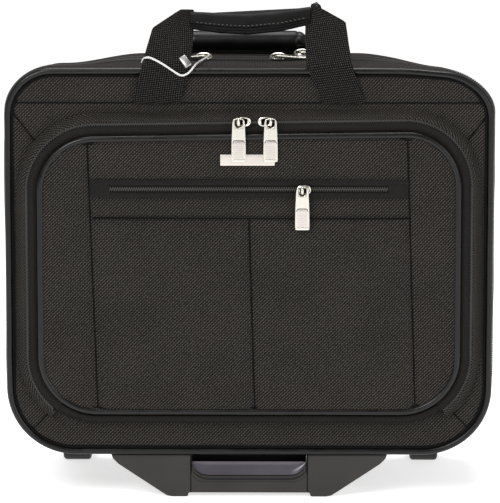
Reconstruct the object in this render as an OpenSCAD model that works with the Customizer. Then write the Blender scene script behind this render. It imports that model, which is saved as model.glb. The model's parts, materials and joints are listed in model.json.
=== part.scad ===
// Rolling laptop case: a soft-sided business case with a hinged front section, a zipped front
// pocket, two carry handles, a telescoping trolley handle and two rear wheels.
// Millimetres. X runs across the case, +Y towards the back, +Z up.
// The origin lies on the floor, under the middle of the case.

/* [Case body] */
// Width of the case body
body_w = 419; // [412:1:440]
// Lower face of the case body above the floor
body_z0 = 38; // [37:0.5:39]
// Upper face of the case body above the floor
body_z1 = 375; // [375:1:378]
// Radius of the two upper corners
top_r = 42; // [36:1:46]
// Radius of the two lower corners
bottom_r = 52; // [48:1:56]
// Thickness of the stiffened fabric walls
wall = 3; // [2.5:0.1:3]
// Radius of the corded piping round the edges
piping_r = 3; // [2.5:0.1:3]

/* [Front pocket] */
// Half width of the raised front pocket over its piping
pocket_hw = 181.5; // [179:0.5:184]
// Lower edge of the front pocket
pocket_z0 = 75.5; // [74:0.5:77]
// Upper edge of the front pocket
pocket_z1 = 320; // [317:1:321]
// Upper corner radius of the front pocket
pocket_top_r = 48; // [44:1:50]
// Lower corner radius of the front pocket
pocket_bottom_r = 51; // [48:1:53]

/* [Handles] */
// Width of the front handle's webbing
strap_w = 40; // [36:1:41]
// Thickness of the webbing
strap_t = 2.2; // [1.8:0.1:2.4]
// Outer radius of the rear handle's leather tube
rear_grip_r = 8.75; // [8:0.25:9]

/* [Trolley] */
// Half the distance between the two trolley tubes
tube_x = 62; // [58:1:62]
// Outer radius of the fixed tubes
tube_r = 8.5; // [8.4:0.1:8.6]
// Width of the trolley grip
grip_w = 150; // [144:1:152]

/* [Wheels] */
// Radius of the rear wheels
wheel_r = 24; // [23.5:0.1:24]
// Width of each wheel
wheel_w = 25; // [23:0.5:26]
// Distance of each wheel's middle plane from the centre of the case
wheel_x = 157; // [156:0.5:158]

/* [Hidden] */
$fn = 64;

// Depth stations, from the front to the back
pocket_front_y = -90;
pocket_plane_y = -81;
board_front_y = -76;
board_back_y = -72.2;
piping_front_y = -75;
lid_gusset_y = [-71.9, -14.2];
main_zip_y = -12;
zip_gap = 0.8;
mid_gusset_y = [-6, 14];
wall_y = [10.1, 13.8];
rear_zip_y = [14.1, 21.9];
rear_gusset_y = [22, 80];
lining_y = [58, 60];
back_y = [81, 85];
piping_back_y = 83;
tube_y = 70;
case_rear_y = 100.5;

// The front section's lower edge, above which its side walls swing with it
lid_z = 95;
zip_inset = [1, 2.5];
pipe_inset = piping_r + 3.1;

// Zip sliders and their pull tabs
slider_l = 12;
slider_h = 9;
arch_gap = 5;
arch_t = 1.4;
post_t = 1.6;
post_w = 2.4;
post_y = 3.3;
eye_w = 5.2;
eye_l = 7;
tab_w = 12.3;
tab_t = 2;
pull_l = 39;

// Front handle
strap_pivot_z = 351;
strap_y = -80;
strap_bend_z = 377;
lean = 29;

// Rear handle
rear_grip_y = 43;
rear_grip_z = 386;
rear_grip_x = [-50, 45];
rear_anchor_x = 96;

// Trolley
tub_y = [57.5, 80];
tub_rim_t = 2.4;
tube_bore_r = 7.7;
middle_r = 7.65;
middle_bore_r = 6.85;
inner_r = 6.8;
inner_bore_r = 6;
rod_r = 2.2;
rod_z0 = 74;
rod_top_z = 366;
tub_floor_z = 349;
outer_z = [60, tub_floor_z - 0.1];
middle_z = [64, tub_floor_z + 3];
collar_r = 8.8;
collar_z = [tub_floor_z + 3.4, tub_floor_z + 7.4];
inner_z = [68, 360];
grip_z = [357, 377];
grip_half_y = 8.8;
button_half_x = 15;
button_half_y = 4;
button_stands = 1.4;

// Wheels
wheel_y = case_rear_y - wheel_r;
axle_r = 3;
hub_bore_r = 3.05;
hub_r = 17;
housing_x = [138, 178];
guard_z = 68;
guard_y = 50;

// Colours
fabric = [0.17, 0.165, 0.16];
webbing = [0.2, 0.19, 0.185];
piping = [0.3, 0.3, 0.29];
leather = [0.09, 0.085, 0.085];
plastic = [0.25, 0.24, 0.23];
black = [0.07, 0.07, 0.07];
metal = [0.82, 0.8, 0.76];
aluminium = [0.65, 0.66, 0.68];
rubber = [0.12, 0.12, 0.12];
lining = [0.32, 0.32, 0.34];
white = [0.93, 0.93, 0.91];

// ---- outlines in the X-Z plane -------------------------------------------------------------

// Rounded outline drawn as x, z: half width, lower edge, upper edge and the two corner radii
module outline(hw, low, high, low_r, high_r) {
  translate([-hw, low + low_r]) square([2 * hw, high - low - low_r - high_r]);
  translate([-(hw - low_r), low]) square([2 * (hw - low_r), low_r + 1]);
  translate([-(hw - high_r), high - high_r - 1]) square([2 * (hw - high_r), high_r + 1]);
  for (s = [-1, 1]) {
    translate([s * (hw - low_r), low + low_r]) circle(low_r);
    translate([s * (hw - high_r), high - high_r]) circle(high_r);
  }
}

module case_outline(inset = 0)
  outline(body_w / 2 - inset, body_z0 + inset, body_z1 - inset, bottom_r - inset, top_r - inset);

module pocket_outline(inset = 0)
  outline(pocket_hw - inset, pocket_z0 + inset, pocket_z1 - inset,
    pocket_bottom_r - inset, pocket_top_r - inset);

// Extrudes an x, z outline from y[0] to y[1]
module slab(y) {
  translate([0, y[1], 0]) rotate([90, 0, 0]) linear_extrude(y[1] - y[0]) children();
}

module case_ring(y, outer, inner) {
  slab(y) difference() {
    case_outline(outer);
    case_outline(inner);
  }
}

module above(z) {
  translate([-300, -150, z]) cube([600, 300, 400]);
}

module below(z) {
  translate([-300, -150, z - 400]) cube([600, 300, 400]);
}

// Corded piping: a round cord that follows a rounded outline
module cord_quarter(r, cord_r, turn) {
  rotate([0, turn, 0]) rotate([90, 0, 0]) rotate_extrude(angle = 90) translate([r, 0]) circle(cord_r);
}

module cord_ring(hw, low, high, low_r, high_r, y, cord_r) {
  for (s = [-1, 1]) {
    translate([s * hw, y, low + low_r]) cylinder(r = cord_r, h = high - low - low_r - high_r);
  }
  translate([-(hw - low_r), y, low]) rotate([0, 90, 0]) cylinder(r = cord_r, h = 2 * (hw - low_r));
  translate([-(hw - high_r), y, high]) rotate([0, 90, 0])
    cylinder(r = cord_r, h = 2 * (hw - high_r));
  translate([hw - high_r, y, high - high_r]) cord_quarter(high_r, cord_r, 0);
  translate([hw - low_r, y, low + low_r]) cord_quarter(low_r, cord_r, 90);
  translate([-(hw - low_r), y, low + low_r]) cord_quarter(low_r, cord_r, 180);
  translate([-(hw - high_r), y, high - high_r]) cord_quarter(high_r, cord_r, 270);
}

// The space of the moulded rear corner, cut out of the fabric parts
module corner_space() {
  for (s = [0, 1]) mirror([s, 0, 0])
    translate([housing_x[0] - 0.2, guard_y - 0.2, 0]) cube([120, 80, guard_z + 0.2]);
}

// The tub's inside, open to the top
module tub_mouth(z) {
  translate([-grip_w / 2 - 4, tub_y[0] + 1, z])
    cube([grip_w + 8, tub_y[1] - tub_y[0] - 2, 60]);
}

// The space of the trolley's tub, cut out of the lining with some play
module tub_space(side_play, play) {
  translate([-grip_w / 2 - side_play, tub_y[0] - play, tub_floor_z - 3])
    cube([grip_w + 2 * side_play, tub_y[1] - tub_y[0] + 2 * play, 60]);
}

// ---- case body -----------------------------------------------------------------------------

module bottom_gusset() {
  color(fabric) intersection() {
    case_ring([-71, mid_gusset_y[0] - 0.1], 0, wall);
    below(lid_z - 0.4);
  }
}

module mid_gusset() {
  color(fabric) case_ring(mid_gusset_y, 0, wall);
}

module rear_gusset() {
  color(fabric) difference() {
    union() {
      case_ring(rear_gusset_y, 0, wall);
      intersection() {
        case_ring([mid_gusset_y[1] + 0.1, rear_gusset_y[0]], 0, wall);
        below(lid_z - 0.4);
      }
    }
    corner_space();
    tub_mouth(tub_floor_z);
  }
}

module back_board() {
  color(fabric) difference() {
    slab(back_y) case_outline(pipe_inset);
    corner_space();
  }
}

module rear_piping() {
  color(piping) difference() {
    cord_ring(body_w / 2 - piping_r, body_z0 + piping_r, body_z1 - piping_r,
      bottom_r - piping_r, top_r - piping_r, piping_back_y + 0.1, piping_r - 0.1);
    corner_space();
  }
}

module main_zipper_tape_rear() {
  color(black) intersection() {
    case_ring([main_zip_y + zip_gap / 2 + 2, mid_gusset_y[0] - 0.1], zip_inset[0], zip_inset[1]);
    above(lid_z);
  }
}

module rear_zipper_tape() {
  color(black) intersection() {
    case_ring(rear_zip_y, zip_inset[0], zip_inset[1]);
    above(lid_z);
  }
}

// Padded wall between the main compartment and the laptop compartment
module compartment_wall() {
  color(lining) slab(wall_y) case_outline(wall + 0.2);
}

// Board that closes the trolley's space off from the laptop
module lining_board() {
  color(lining) difference() {
    slab(lining_y) translate([-195, 42]) square([390, 308]);
    slab([lining_y[0] - 1, lining_y[1] + 1]) difference() {
      translate([-220, 20]) square([440, 340]);
      case_outline(wall + 0.2);
    }
    corner_space();
    tub_space(12, 0.3);
  }
}

module trolley_outer_tubes() {
  color(aluminium) tube_pair(tube_r, tube_bore_r, outer_z);
}

// Moulded bracket that holds the lower ends of the tubes
module trolley_bracket() {
  color(black) translate([-80, 61, 43]) cube([160, 19, 16.8]);
}

// Moulded tub under the top, into which the trolley grip sinks
module trolley_bezel() {
  tub_w = grip_w + 23.4;
  rim_z = body_z1 - wall - 0.1;
  color(plastic) difference() {
    union() {
      translate([-tub_w / 2, tub_y[0], tub_floor_z])
        cube([tub_w, tub_y[1] - tub_y[0], rim_z - tub_floor_z]);
      translate([-tub_w / 2 - 6, tub_y[0] - 3.5, rim_z - tub_rim_t])
        cube([tub_w + 12, tub_y[1] - tub_y[0] + 3.5, tub_rim_t]);
    }
    tub_mouth(tub_floor_z + 3);
    for (s = [-1, 1]) translate([s * tube_x, tube_y, tub_floor_z - 1]) cylinder(r = tube_bore_r, h = 6);
  }
}

module rear_strap_anchors() {
  color(webbing) for (s = [-1, 1])
    translate([s * (rear_anchor_x + 9) - 9, rear_grip_y - 10, body_z1]) cube([18, 20, 1.6]);
}

// Left half of the foot's outline, as x and z
foot_side = [[-120, 37.9], [-118.2, 33.5], [-113.5, 28.8], [-91, 13.8], [-76, 3.8], [-71.5, 1], [-67, 0],
  [-53, 0], [-53, 3.5]];

module front_foot() {
  color(plastic) difference() {
    slab([-74, -34]) difference() {
      polygon(concat(foot_side, [for (i = [len(foot_side) - 1:-1:0]) [-foot_side[i][0], foot_side[i][1]]]));
      translate([-50, 24]) square([100, 30]);
      translate([-40, 14]) square([80, 11]);
      for (s = [-1, 1]) translate([s * 40, 24]) circle(10);
    }
  }
}

// Glossy lining at the back of the recess in the foot
module grip_scoop() {
  color([0.25, 0.24, 0.27]) slab([-50, -36]) {
    translate([-49.8, 24]) square([99.6, 13.9]);
    translate([-40, 14.2]) square([80, 10]);
    for (s = [-1, 1]) translate([s * 40, 24]) circle(9.8);
  }
}

// Moulded rear corner on the right: wheel housing, corner guard and skirt
module wheel_housing() {
  color(plastic) difference() {
    union() {
      translate([housing_x[0], 0, 0]) rotate([90, 0, 90]) linear_extrude(housing_x[1] - housing_x[0])
        polygon([[guard_y, 38], [56, 16], [62, 12], [90, 12], [96, 18], [97.5, 26], [97.5, 52],
          [89, guard_z], [guard_y, guard_z]]);
      intersection() {
        union() {
          case_ring([guard_y, 88], 0, wall);
          slab([81, 88]) case_outline(0);
        }
        translate([housing_x[0], 0, 0]) cube([100, 120, guard_z]);
      }
    }
    translate([wheel_x - wheel_w / 2 - 1.5, wheel_y, wheel_r]) rotate([0, 90, 0])
      cylinder(r = wheel_r + 1.8, h = wheel_w + 3);
    translate([wheel_x - wheel_w / 2 - 1.5, wheel_y, -1]) cube([wheel_w + 3, 40, wheel_r + 1]);
    translate([housing_x[0] - 1, wheel_y, wheel_r]) rotate([0, 90, 0]) cylinder(r = axle_r, h = 60);
  }
}

module wheel_housing_right() { wheel_housing(); }
module wheel_housing_left() { mirror([1, 0, 0]) wheel_housing(); }

module wheel_axles() {
  color(metal) for (s = [-1, 1])
    translate([s * (housing_x[0] + housing_x[1]) / 2, wheel_y, wheel_r]) rotate([0, 90, 0])
      cylinder(r = axle_r, h = housing_x[1] - housing_x[0], center = true);
}

// ---- front section -------------------------------------------------------------------------

module front_board() {
  color(fabric) slab([board_front_y, board_back_y]) case_outline(pipe_inset);
}

module front_gusset() {
  color(fabric) intersection() {
    case_ring(lid_gusset_y, 0, wall);
    above(lid_z);
  }
}

module front_piping() {
  color(piping) cord_ring(body_w / 2 - piping_r, body_z0 + piping_r, body_z1 - piping_r,
    bottom_r - piping_r, top_r - piping_r, piping_front_y, piping_r);
}

module main_zipper_tape_front() {
  color(black) intersection() {
    case_ring([lid_gusset_y[1] + 0.1, main_zip_y + 1.6], zip_inset[0], zip_inset[1]);
    above(lid_z);
  }
}

// Outer half of the pocket zip, on a raised fabric rim round the pocket
module pocket_zipper_tape() {
  color(black) intersection() {
    slab([-83.9, board_front_y - 0.1]) difference() {
      pocket_outline(-13.7);
      pocket_outline(-9.5);
    }
    above(pocket_z0 + 10);
  }
}

// Small pockets and pen loops inside the front pocket
module organiser_panel() {
  color(lining) slab([-79, board_front_y - 0.1]) translate([-165, 90]) square([330, 160]);
}

module front_strap_anchors() {
  color(webbing) for (x = [-98, 63]) translate([x, -79, 345.4]) cube([strap_w - 2, 2.9, 5]);
}

// ---- pocket flap ---------------------------------------------------------------------------

module pocket_panel() {
  color(fabric) slab([pocket_front_y, -86.5]) pocket_outline(pipe_inset);
}

module pocket_gusset() {
  color(fabric) {
    slab([-83.8, pocket_plane_y]) difference() {
      pocket_outline(0);
      pocket_outline(8);
    }
    intersection() {
      slab([-83.8, pocket_plane_y]) difference() {
        pocket_outline(-8.9);
        pocket_outline(1);
      }
      above(pocket_z0 + 10);
    }
  }
}

module pocket_piping() {
  color(piping) cord_ring(pocket_hw - 3, pocket_z0 + 3, pocket_z1 - 3, pocket_bottom_r - 3,
    pocket_top_r - 3, -86.9, 3);
}

// Zip of the small pocket, laid across the panel
module small_zipper_tape() {
  color(black) translate([-137, pocket_front_y - 0.9, 264.6]) cube([274, 0.85, 16]);
}

module nameplate() {
  color(metal) translate([-24.5, pocket_front_y - 0.5, 293]) cube([46.5, 0.45, 9.5]);
}

// ---- front carry handle --------------------------------------------------------------------

// One webbing strap, drawn as x and the length measured along it above the bend
module front_strap(base, bend, top) {
  color(webbing) {
    slab([strap_y - strap_t / 2, strap_y + strap_t / 2])
      polygon([[base[0], strap_pivot_z], [base[1], strap_pivot_z],
        [bend[1], strap_bend_z], [bend[0], strap_bend_z]]);
    translate([0, strap_y, strap_bend_z]) rotate([-lean, 0, 0])
      slab([-strap_t / 2, strap_t / 2]) polygon(concat([[bend[0], -1.2], [bend[1], -1.2]], top));
  }
}

module front_strap_left() {
  front_strap([-98, -57], [-88, -49], [[-47, 35], [-47.2, 51], [-59, 52.5], [-83.5, 35]]);
}

module front_strap_right() {
  front_strap([65, 101.5], [52, 91], [[85, 40.5], [63, 54], [56, 54], [51, 41]]);
}

module front_grip() {
  color(leather) translate([-46.2, strap_y, strap_bend_z]) rotate([-lean, 0, 0])
    translate([0, 0, 41]) rotate([90, 0, 90]) linear_extrude(97) {
      circle(7);
      translate([-1.6, -10]) square([3.2, 8]);
    }
}

// Elastic string of a swing tag: from the main zip's left slider, over the strap's front and
// round its outer edge
tag_route = [[-35, -18.5, 379.5], [-38, -32, 378.5], [-42, -50, 378], [-45, -68, 377.6],
  [-47.3, -79.5, 376], [-49, -83.8, 374], [-53, -84.3, 370.6], [-58, -84.3, 369.5], [-64.5, -84, 373.2],
  [-70.5, -83.4, 377.2], [-76, -82.2, 380.4], [-81, -80.8, 382.8], [-86, -79, 384.3], [-90, -76, 382.5],
  [-91.5, -71, 379]];
tag_r = 0.85;
tag_sides = 8;
tag_steps = 4;

function spline(p, i, t) =
  let (a = p[max(i - 1, 0)], b = p[i], c = p[i + 1], d = p[min(i + 2, len(p) - 1)])
  0.5 * (2 * b + (c - a) * t + (2 * a - 5 * b + 4 * c - d) * t * t
    + (3 * b - a - 3 * c + d) * t * t * t);
function unit(v) = v / norm(v);
function path(p, steps) = concat(
  [for (i = [0:len(p) - 2]) for (k = [0:steps - 1]) spline(p, i, k / steps)], [p[len(p) - 1]]);
function ring_points(c, along, r, sides) =
  let (u = unit(cross(along, [0.3, 0.2, 1])), v = cross(along, u))
  [for (k = [0:sides - 1]) c + r * (cos(360 * k / sides) * u + sin(360 * k / sides) * v)];

module tube_along(route, r, sides, steps) {
  line = path(route, steps);
  last = len(line) - 1;
  points = [for (i = [0:last])
    each ring_points(line[i], unit(line[min(i + 1, last)] - line[max(i - 1, 0)]), r, sides)];
  skin = [for (i = [0:last - 1]) for (k = [0:sides - 1])
    let (a = i * sides + k, b = i * sides + (k + 1) % sides) [a, a + sides, b + sides, b]];
  polyhedron(points, concat(skin, [[for (k = [0:sides - 1]) k],
    [for (k = [0:sides - 1]) last * sides + sides - 1 - k]]));
}

module tag_cord() {
  color(white) tube_along(tag_route, tag_r, tag_sides, tag_steps);
}

// Crimped metal clip that closes the string
module tag_crimp() {
  color(metal) translate([-54.2, -81.8, 381]) rotate([-lean, 0, 0]) rotate([0, -35, 0])
    translate([-3.2, -1.5, -5.5]) cube([6.4, 3, 11]);
}

// ---- rear carry handle ---------------------------------------------------------------------

module rear_straps() {
  color(webbing) slab([rear_grip_y - 6, rear_grip_y + 6]) {
    rear_strap(rear_grip_x[1] + 0.2, 1);
    rear_strap(rear_grip_x[0] - 0.2, -1);
  }
}

// One side of the webbing, from the tube's end out to the anchor, as x and z
module rear_strap(from, side) {
  low = body_z1 + 1.8;
  polygon([[from, rear_grip_z - 1.5], [side * rear_anchor_x, low], [side * (rear_anchor_x + 17), low],
    [side * (rear_anchor_x + 17), low + 1.6], [side * (rear_anchor_x + 1), low + 1.6],
    [from, rear_grip_z + 2]]);
}

module rear_grip() {
  color(leather) translate([rear_grip_x[0], rear_grip_y, rear_grip_z]) rotate([0, 90, 0])
    cylinder(r = rear_grip_r, h = rear_grip_x[1] - rear_grip_x[0]);
}

// ---- trolley handle ------------------------------------------------------------------------

// Two upright tubes from z[0] to z[1]
module tube_pair(r, bore_r, z) {
  for (s = [-1, 1]) translate([s * tube_x, tube_y, z[0]]) difference() {
    cylinder(r = r, h = z[1] - z[0]);
    translate([0, 0, -1]) cylinder(r = bore_r, h = z[1] - z[0] + 2);
  }
}

module middle_tubes() {
  color(aluminium) tube_pair(middle_r, middle_bore_r, middle_z);
}

module middle_collars() {
  color(black) tube_pair(collar_r, middle_bore_r, collar_z);
}

module inner_tubes() {
  color(aluminium) tube_pair(inner_r, inner_bore_r, inner_z);
}

// The grip holds a cross bar that joins the button to the two push rods
module trolley_grip() {
  color(black) difference() {
    translate([-grip_w / 2, tube_y - grip_half_y, grip_z[0]])
      cube([grip_w, 2 * grip_half_y, grip_z[1] - grip_z[0]]);
    for (s = [-1, 1]) translate([s * tube_x, tube_y, grip_z[0] - 1]) {
      cylinder(r = inner_r, h = inner_z[1] - grip_z[0] + 1);
      cylinder(r = rod_r + 0.6, h = 10);
    }
    translate([-tube_x - 4, tube_y - button_half_y - 1, rod_top_z - 5])
      cube([2 * tube_x + 8, 2 * button_half_y + 2, 9]);
    translate([-button_half_x - 0.5, tube_y - button_half_y - 0.5, rod_top_z + 1])
      cube([2 * button_half_x + 1, 2 * button_half_y + 1, 20]);
  }
}

module release_button() {
  color(plastic) translate([0, tube_y - button_half_y, rod_top_z + 0.1]) {
    translate([-button_half_x, 0, 0])
      cube([2 * button_half_x, 2 * button_half_y, grip_z[1] - rod_top_z + button_stands]);
    translate([-tube_x - 3, 0, 0]) cube([2 * tube_x + 6, 2 * button_half_y, 3.4]);
  }
}

module push_rods() {
  color(metal) for (s = [-1, 1]) translate([s * tube_x, tube_y, rod_z0])
    cylinder(r = rod_r, h = rod_top_z - rod_z0);
}

// ---- wheels --------------------------------------------------------------------------------

module on_wheel(s) {
  translate([s * wheel_x, wheel_y, wheel_r]) rotate([0, 90, 0]) children();
}

module wheel_tyre(s) {
  color(rubber) on_wheel(s) rotate_extrude() translate([hub_r, 0]) {
    translate([0, -wheel_w / 2]) square([wheel_r - hub_r - 3, wheel_w]);
    translate([0, -wheel_w / 2 + 3]) square([wheel_r - hub_r, wheel_w - 6]);
    for (e = [-1, 1]) translate([wheel_r - hub_r - 3, e * (wheel_w / 2 - 3)]) circle(3);
  }
}

module wheel_hub(s) {
  color(plastic) on_wheel(s) difference() {
    cylinder(r = hub_r, h = wheel_w - 1, center = true);
    cylinder(r = hub_bore_r, h = wheel_w + 2, center = true);
    for (e = [-1, 1]) translate([0, 0, e * (wheel_w / 2 - 3)]) difference() {
      cylinder(r = hub_r - 2.5, h = 6.2, center = true);
      cylinder(r = 6.5, h = 8, center = true);
    }
  }
}

module wheel_tyre_left() { wheel_tyre(-1); }
module wheel_tyre_right() { wheel_tyre(1); }
module wheel_hub_left() { wheel_hub(-1); }
module wheel_hub_right() { wheel_hub(1); }

// ---- inside --------------------------------------------------------------------------------

module file_divider() {
  color(lining) slab([-30, -28]) translate([-180, 52]) square([360, 270]);
}

// ---- zip sliders and pulls -----------------------------------------------------------------

// Local frame: the chain runs along x, the slider stands off it towards +z, the arch spans y
module slider(base_x, base_y, base_t) {
  color(metal) {
    translate([-base_x / 2, -base_y / 2, 0]) cube([base_x, base_y, base_t]);
    for (s = [-1, 1]) translate([-post_w / 2, s * post_y - post_t / 2, base_t])
      cube([post_w, post_t, arch_gap]);
    translate([-post_w / 2, -post_y - post_t / 2, base_t + arch_gap])
      cube([post_w, 2 * post_y + post_t, arch_t]);
  }
}

// A pull tab that hangs towards -y of the same frame, its hinge on the x axis: a narrower head,
// the blade and a lip across its lower end
module pull_tab(length) {
  color(metal) difference() {
    union() {
      translate([-tab_w / 2, 6 - length, -tab_t / 2]) cube([tab_w, length - 10, tab_t]);
      translate([-5, -5, -tab_t / 2]) cube([10, 6, tab_t]);
      translate([-tab_w / 2, 1 - length, -tab_t / 2]) cube([tab_w, 6, tab_t + 0.6]);
    }
    translate([-eye_w / 2, -1 - eye_l, -tab_t]) cube([eye_w, eye_l, 2 * tab_t]);
  }
}

// Places a slider or tab on a vertical face that looks towards -Y
module on_front(x, y, z) {
  translate([x, y, z]) rotate([90, 0, 0]) children();
}

// Places a slider or tab on the top; turn swings the tab round the vertical
module on_top(x, y, z, turn, droop) {
  translate([x, y, z]) rotate([0, 0, turn]) rotate([droop, 0, 0]) children();
}

front_zip_z = 330.5;
front_base_t = 4.5;
front_base_y = -84.8;
front_slider_x = [-8.8, 18.4];
small_x = 45.5;
small_z = 272.6;
small_base_y = pocket_front_y - 1.2;
small_base_t = 3;
top_base_z = body_z1 + 0.4;
top_base_t = 3;
top_droop = 4;
top_hinge_z = top_base_z + top_base_t + arch_gap / 2;
main_slider_x = [-40, 25];
rear_slider_x = 46;
rear_slider_y = 18;

module front_slider(x) {
  on_front(x, front_base_y, front_zip_z) slider(slider_l, slider_h, front_base_t);
}

module front_pull(x) {
  on_front(x, front_base_y - front_base_t - arch_gap / 2, front_zip_z) pull_tab(pull_l);
}

module front_slider_left() { front_slider(front_slider_x[0]); }
module front_slider_right() { front_slider(front_slider_x[1]); }
module front_pull_left() { front_pull(front_slider_x[0]); }
module front_pull_right() { front_pull(front_slider_x[1]); }

module small_slider() {
  on_front(small_x, small_base_y, small_z) slider(slider_l, slider_h, small_base_t);
}

module small_pull() {
  on_front(small_x, small_base_y - small_base_t - arch_gap / 2, small_z) pull_tab(pull_l);
}

// A slider on top: its arch spans the chain, so that the tab lies along the chain
module top_slider(x, y) {
  on_top(x, y, top_base_z, 90, 0) slider(slider_h, slider_l, top_base_t);
}

module top_pull(x, y, side) {
  on_top(x, y, top_hinge_z, side * 90, top_droop) pull_tab(pull_l);
}

module main_slider_left() { top_slider(main_slider_x[0], main_zip_y); }
module main_slider_right() { top_slider(main_slider_x[1], main_zip_y); }
module main_pull_left() { top_pull(main_slider_x[0], main_zip_y, -1); }
module main_pull_right() { top_pull(main_slider_x[1], main_zip_y, 1); }
module rear_slider() { top_slider(rear_slider_x, rear_slider_y); }
module rear_pull() { top_pull(rear_slider_x, rear_slider_y, 1); }

// ---- assembly ------------------------------------------------------------------------------
bottom_gusset();
mid_gusset();
rear_gusset();
back_board();
rear_piping();
main_zipper_tape_rear();
rear_zipper_tape();
compartment_wall();
lining_board();
trolley_outer_tubes();
trolley_bracket();
trolley_bezel();
rear_strap_anchors();
front_foot();
grip_scoop();
wheel_housing_left();
wheel_housing_right();
wheel_axles();
front_board();
front_gusset();
front_piping();
main_zipper_tape_front();
pocket_zipper_tape();
organiser_panel();
front_strap_anchors();
pocket_panel();
pocket_gusset();
pocket_piping();
small_zipper_tape();
nameplate();
front_strap_left();
front_strap_right();
front_grip();
tag_cord();
tag_crimp();
rear_straps();
rear_grip();
middle_tubes();
middle_collars();
inner_tubes();
trolley_grip();
release_button();
push_rods();
wheel_tyre_left();
wheel_tyre_right();
wheel_hub_left();
wheel_hub_right();
file_divider();
front_slider_left();
front_slider_right();
front_pull_left();
front_pull_right();
small_slider();
small_pull();
main_slider_left();
main_slider_right();
main_pull_left();
main_pull_right();
rear_slider();
rear_pull();
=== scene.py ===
"""Looks for the rolling laptop case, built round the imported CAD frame. Lengths below are in millimetres."""
import json
import math

import bmesh
import bpy
import numpy as np
from mathutils import Matrix, Vector, noise


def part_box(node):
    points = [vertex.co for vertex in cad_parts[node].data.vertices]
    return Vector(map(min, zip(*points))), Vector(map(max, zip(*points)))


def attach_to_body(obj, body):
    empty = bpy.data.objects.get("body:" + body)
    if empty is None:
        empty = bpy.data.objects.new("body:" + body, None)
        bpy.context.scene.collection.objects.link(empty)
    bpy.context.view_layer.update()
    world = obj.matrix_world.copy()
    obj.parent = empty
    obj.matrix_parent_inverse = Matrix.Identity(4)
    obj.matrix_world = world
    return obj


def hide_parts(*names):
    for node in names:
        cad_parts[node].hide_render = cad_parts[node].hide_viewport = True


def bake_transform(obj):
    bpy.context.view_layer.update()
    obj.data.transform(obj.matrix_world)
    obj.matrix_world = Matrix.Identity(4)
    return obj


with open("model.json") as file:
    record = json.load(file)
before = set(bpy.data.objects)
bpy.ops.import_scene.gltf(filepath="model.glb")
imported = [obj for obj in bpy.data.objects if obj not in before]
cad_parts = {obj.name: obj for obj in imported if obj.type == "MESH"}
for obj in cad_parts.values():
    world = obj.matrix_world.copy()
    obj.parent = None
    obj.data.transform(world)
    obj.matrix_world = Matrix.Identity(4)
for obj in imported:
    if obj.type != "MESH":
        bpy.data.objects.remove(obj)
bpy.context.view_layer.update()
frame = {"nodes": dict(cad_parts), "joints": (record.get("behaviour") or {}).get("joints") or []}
MM = 0.001


def mm_box(node):
    """A CAD node's lowest and highest corners, in millimetres."""
    low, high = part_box(node)
    return [c / MM for c in low], [c / MM for c in high]


def attach(piece, body, slot, *nodes):
    """Rides a piece on its body, in place of the CAD nodes it stands for. The slot is not used."""
    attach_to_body(piece, body)
    if nodes:
        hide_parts(*nodes)


# ---- driving sizes, from the frame ----------------------------------------------------------
(_, _, CASE_LOW), (CASE_HW, _, CASE_HIGH) = mm_box("front_piping")
BOTTOM_R, TOP_R = 59.0, 42.0
PIPE_R = 3.0
(_, _, POCKET_LOW), (POCKET_HW, _, POCKET_HIGH) = mm_box("pocket_piping")
POCKET_BOTTOM_R, POCKET_TOP_R = 51.0, 48.0
BOARD_Y = mm_box("front_board")[0][1]
BOARD_BACK_Y = mm_box("front_board")[1][1]
PANEL_Y = mm_box("pocket_panel")[0][1]
LID_Z = mm_box("front_gusset")[0][2]
LID_BACK_Y = mm_box("front_gusset")[1][1]
MAIN_ZIP_Y = -12.0
MID_Y = (mm_box("mid_gusset")[0][1], mm_box("mid_gusset")[1][1])
REAR_Y = (mm_box("rear_zipper_tape")[1][1], mm_box("rear_gusset")[1][1])
REAR_ZIP_Y = 18.0
BACK_Y = mm_box("back_board")[1][1]
ZIP_END_Z = mm_box("pocket_zipper_tape")[0][2]
ZIP_OUT = 9.1
STRAP_PIVOT_Z = 351.0
SIDE_BULGE = 3.6
YOKE_Z = 345.0


# ---- mesh helpers ---------------------------------------------------------------------------
def make(name, verts, faces, uv=None, material=None, sharp=40.0):
    """A smooth-shaded mesh object from points in millimetres; uv holds one pair per vertex."""
    mesh = bpy.data.meshes.new(name)
    mesh.from_pydata([tuple(c * MM for c in v) for v in verts], [], faces)
    if uv is not None:
        layer = mesh.uv_layers.new(name="cloth")
        for loop in mesh.loops:
            u, v = uv[loop.vertex_index]
            layer.data[loop.index].uv = (u * MM, v * MM)
    obj = bpy.data.objects.new(name, mesh)
    bpy.context.scene.collection.objects.link(obj)
    finish_mesh(obj, sharp)
    if material is not None:
        obj.data.materials.append(material)
    return obj


def finish_mesh(obj, sharp=40.0, weld=0.01):
    """Welds seams, turns faces outwards and smooths all but the sharp edges."""
    bm = bmesh.new()
    bm.from_mesh(obj.data)
    bmesh.ops.remove_doubles(bm, verts=bm.verts, dist=weld * MM)
    bmesh.ops.recalc_face_normals(bm, faces=bm.faces)
    bm.to_mesh(obj.data)
    bm.free()
    obj.data.polygons.foreach_set("use_smooth", [True] * len(obj.data.polygons))
    obj.data.set_sharp_from_angle(angle=math.radians(sharp))


def grid_faces(rows, cols, start=0):
    return [
        (start + r * cols + c, start + r * cols + c + 1, start + (r + 1) * cols + c + 1,
         start + (r + 1) * cols + c)
        for r in range(rows - 1)
        for c in range(cols - 1)
    ]


def grid(name, points, uv, material, sharp=40.0):
    """points[row][col] in millimetres, with the same layout of uv."""
    rows, cols = len(points), len(points[0])
    verts = [p for row in points for p in row]
    flat_uv = [p for row in uv for p in row]
    return make(name, verts, grid_faces(rows, cols), flat_uv, material, sharp)


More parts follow.
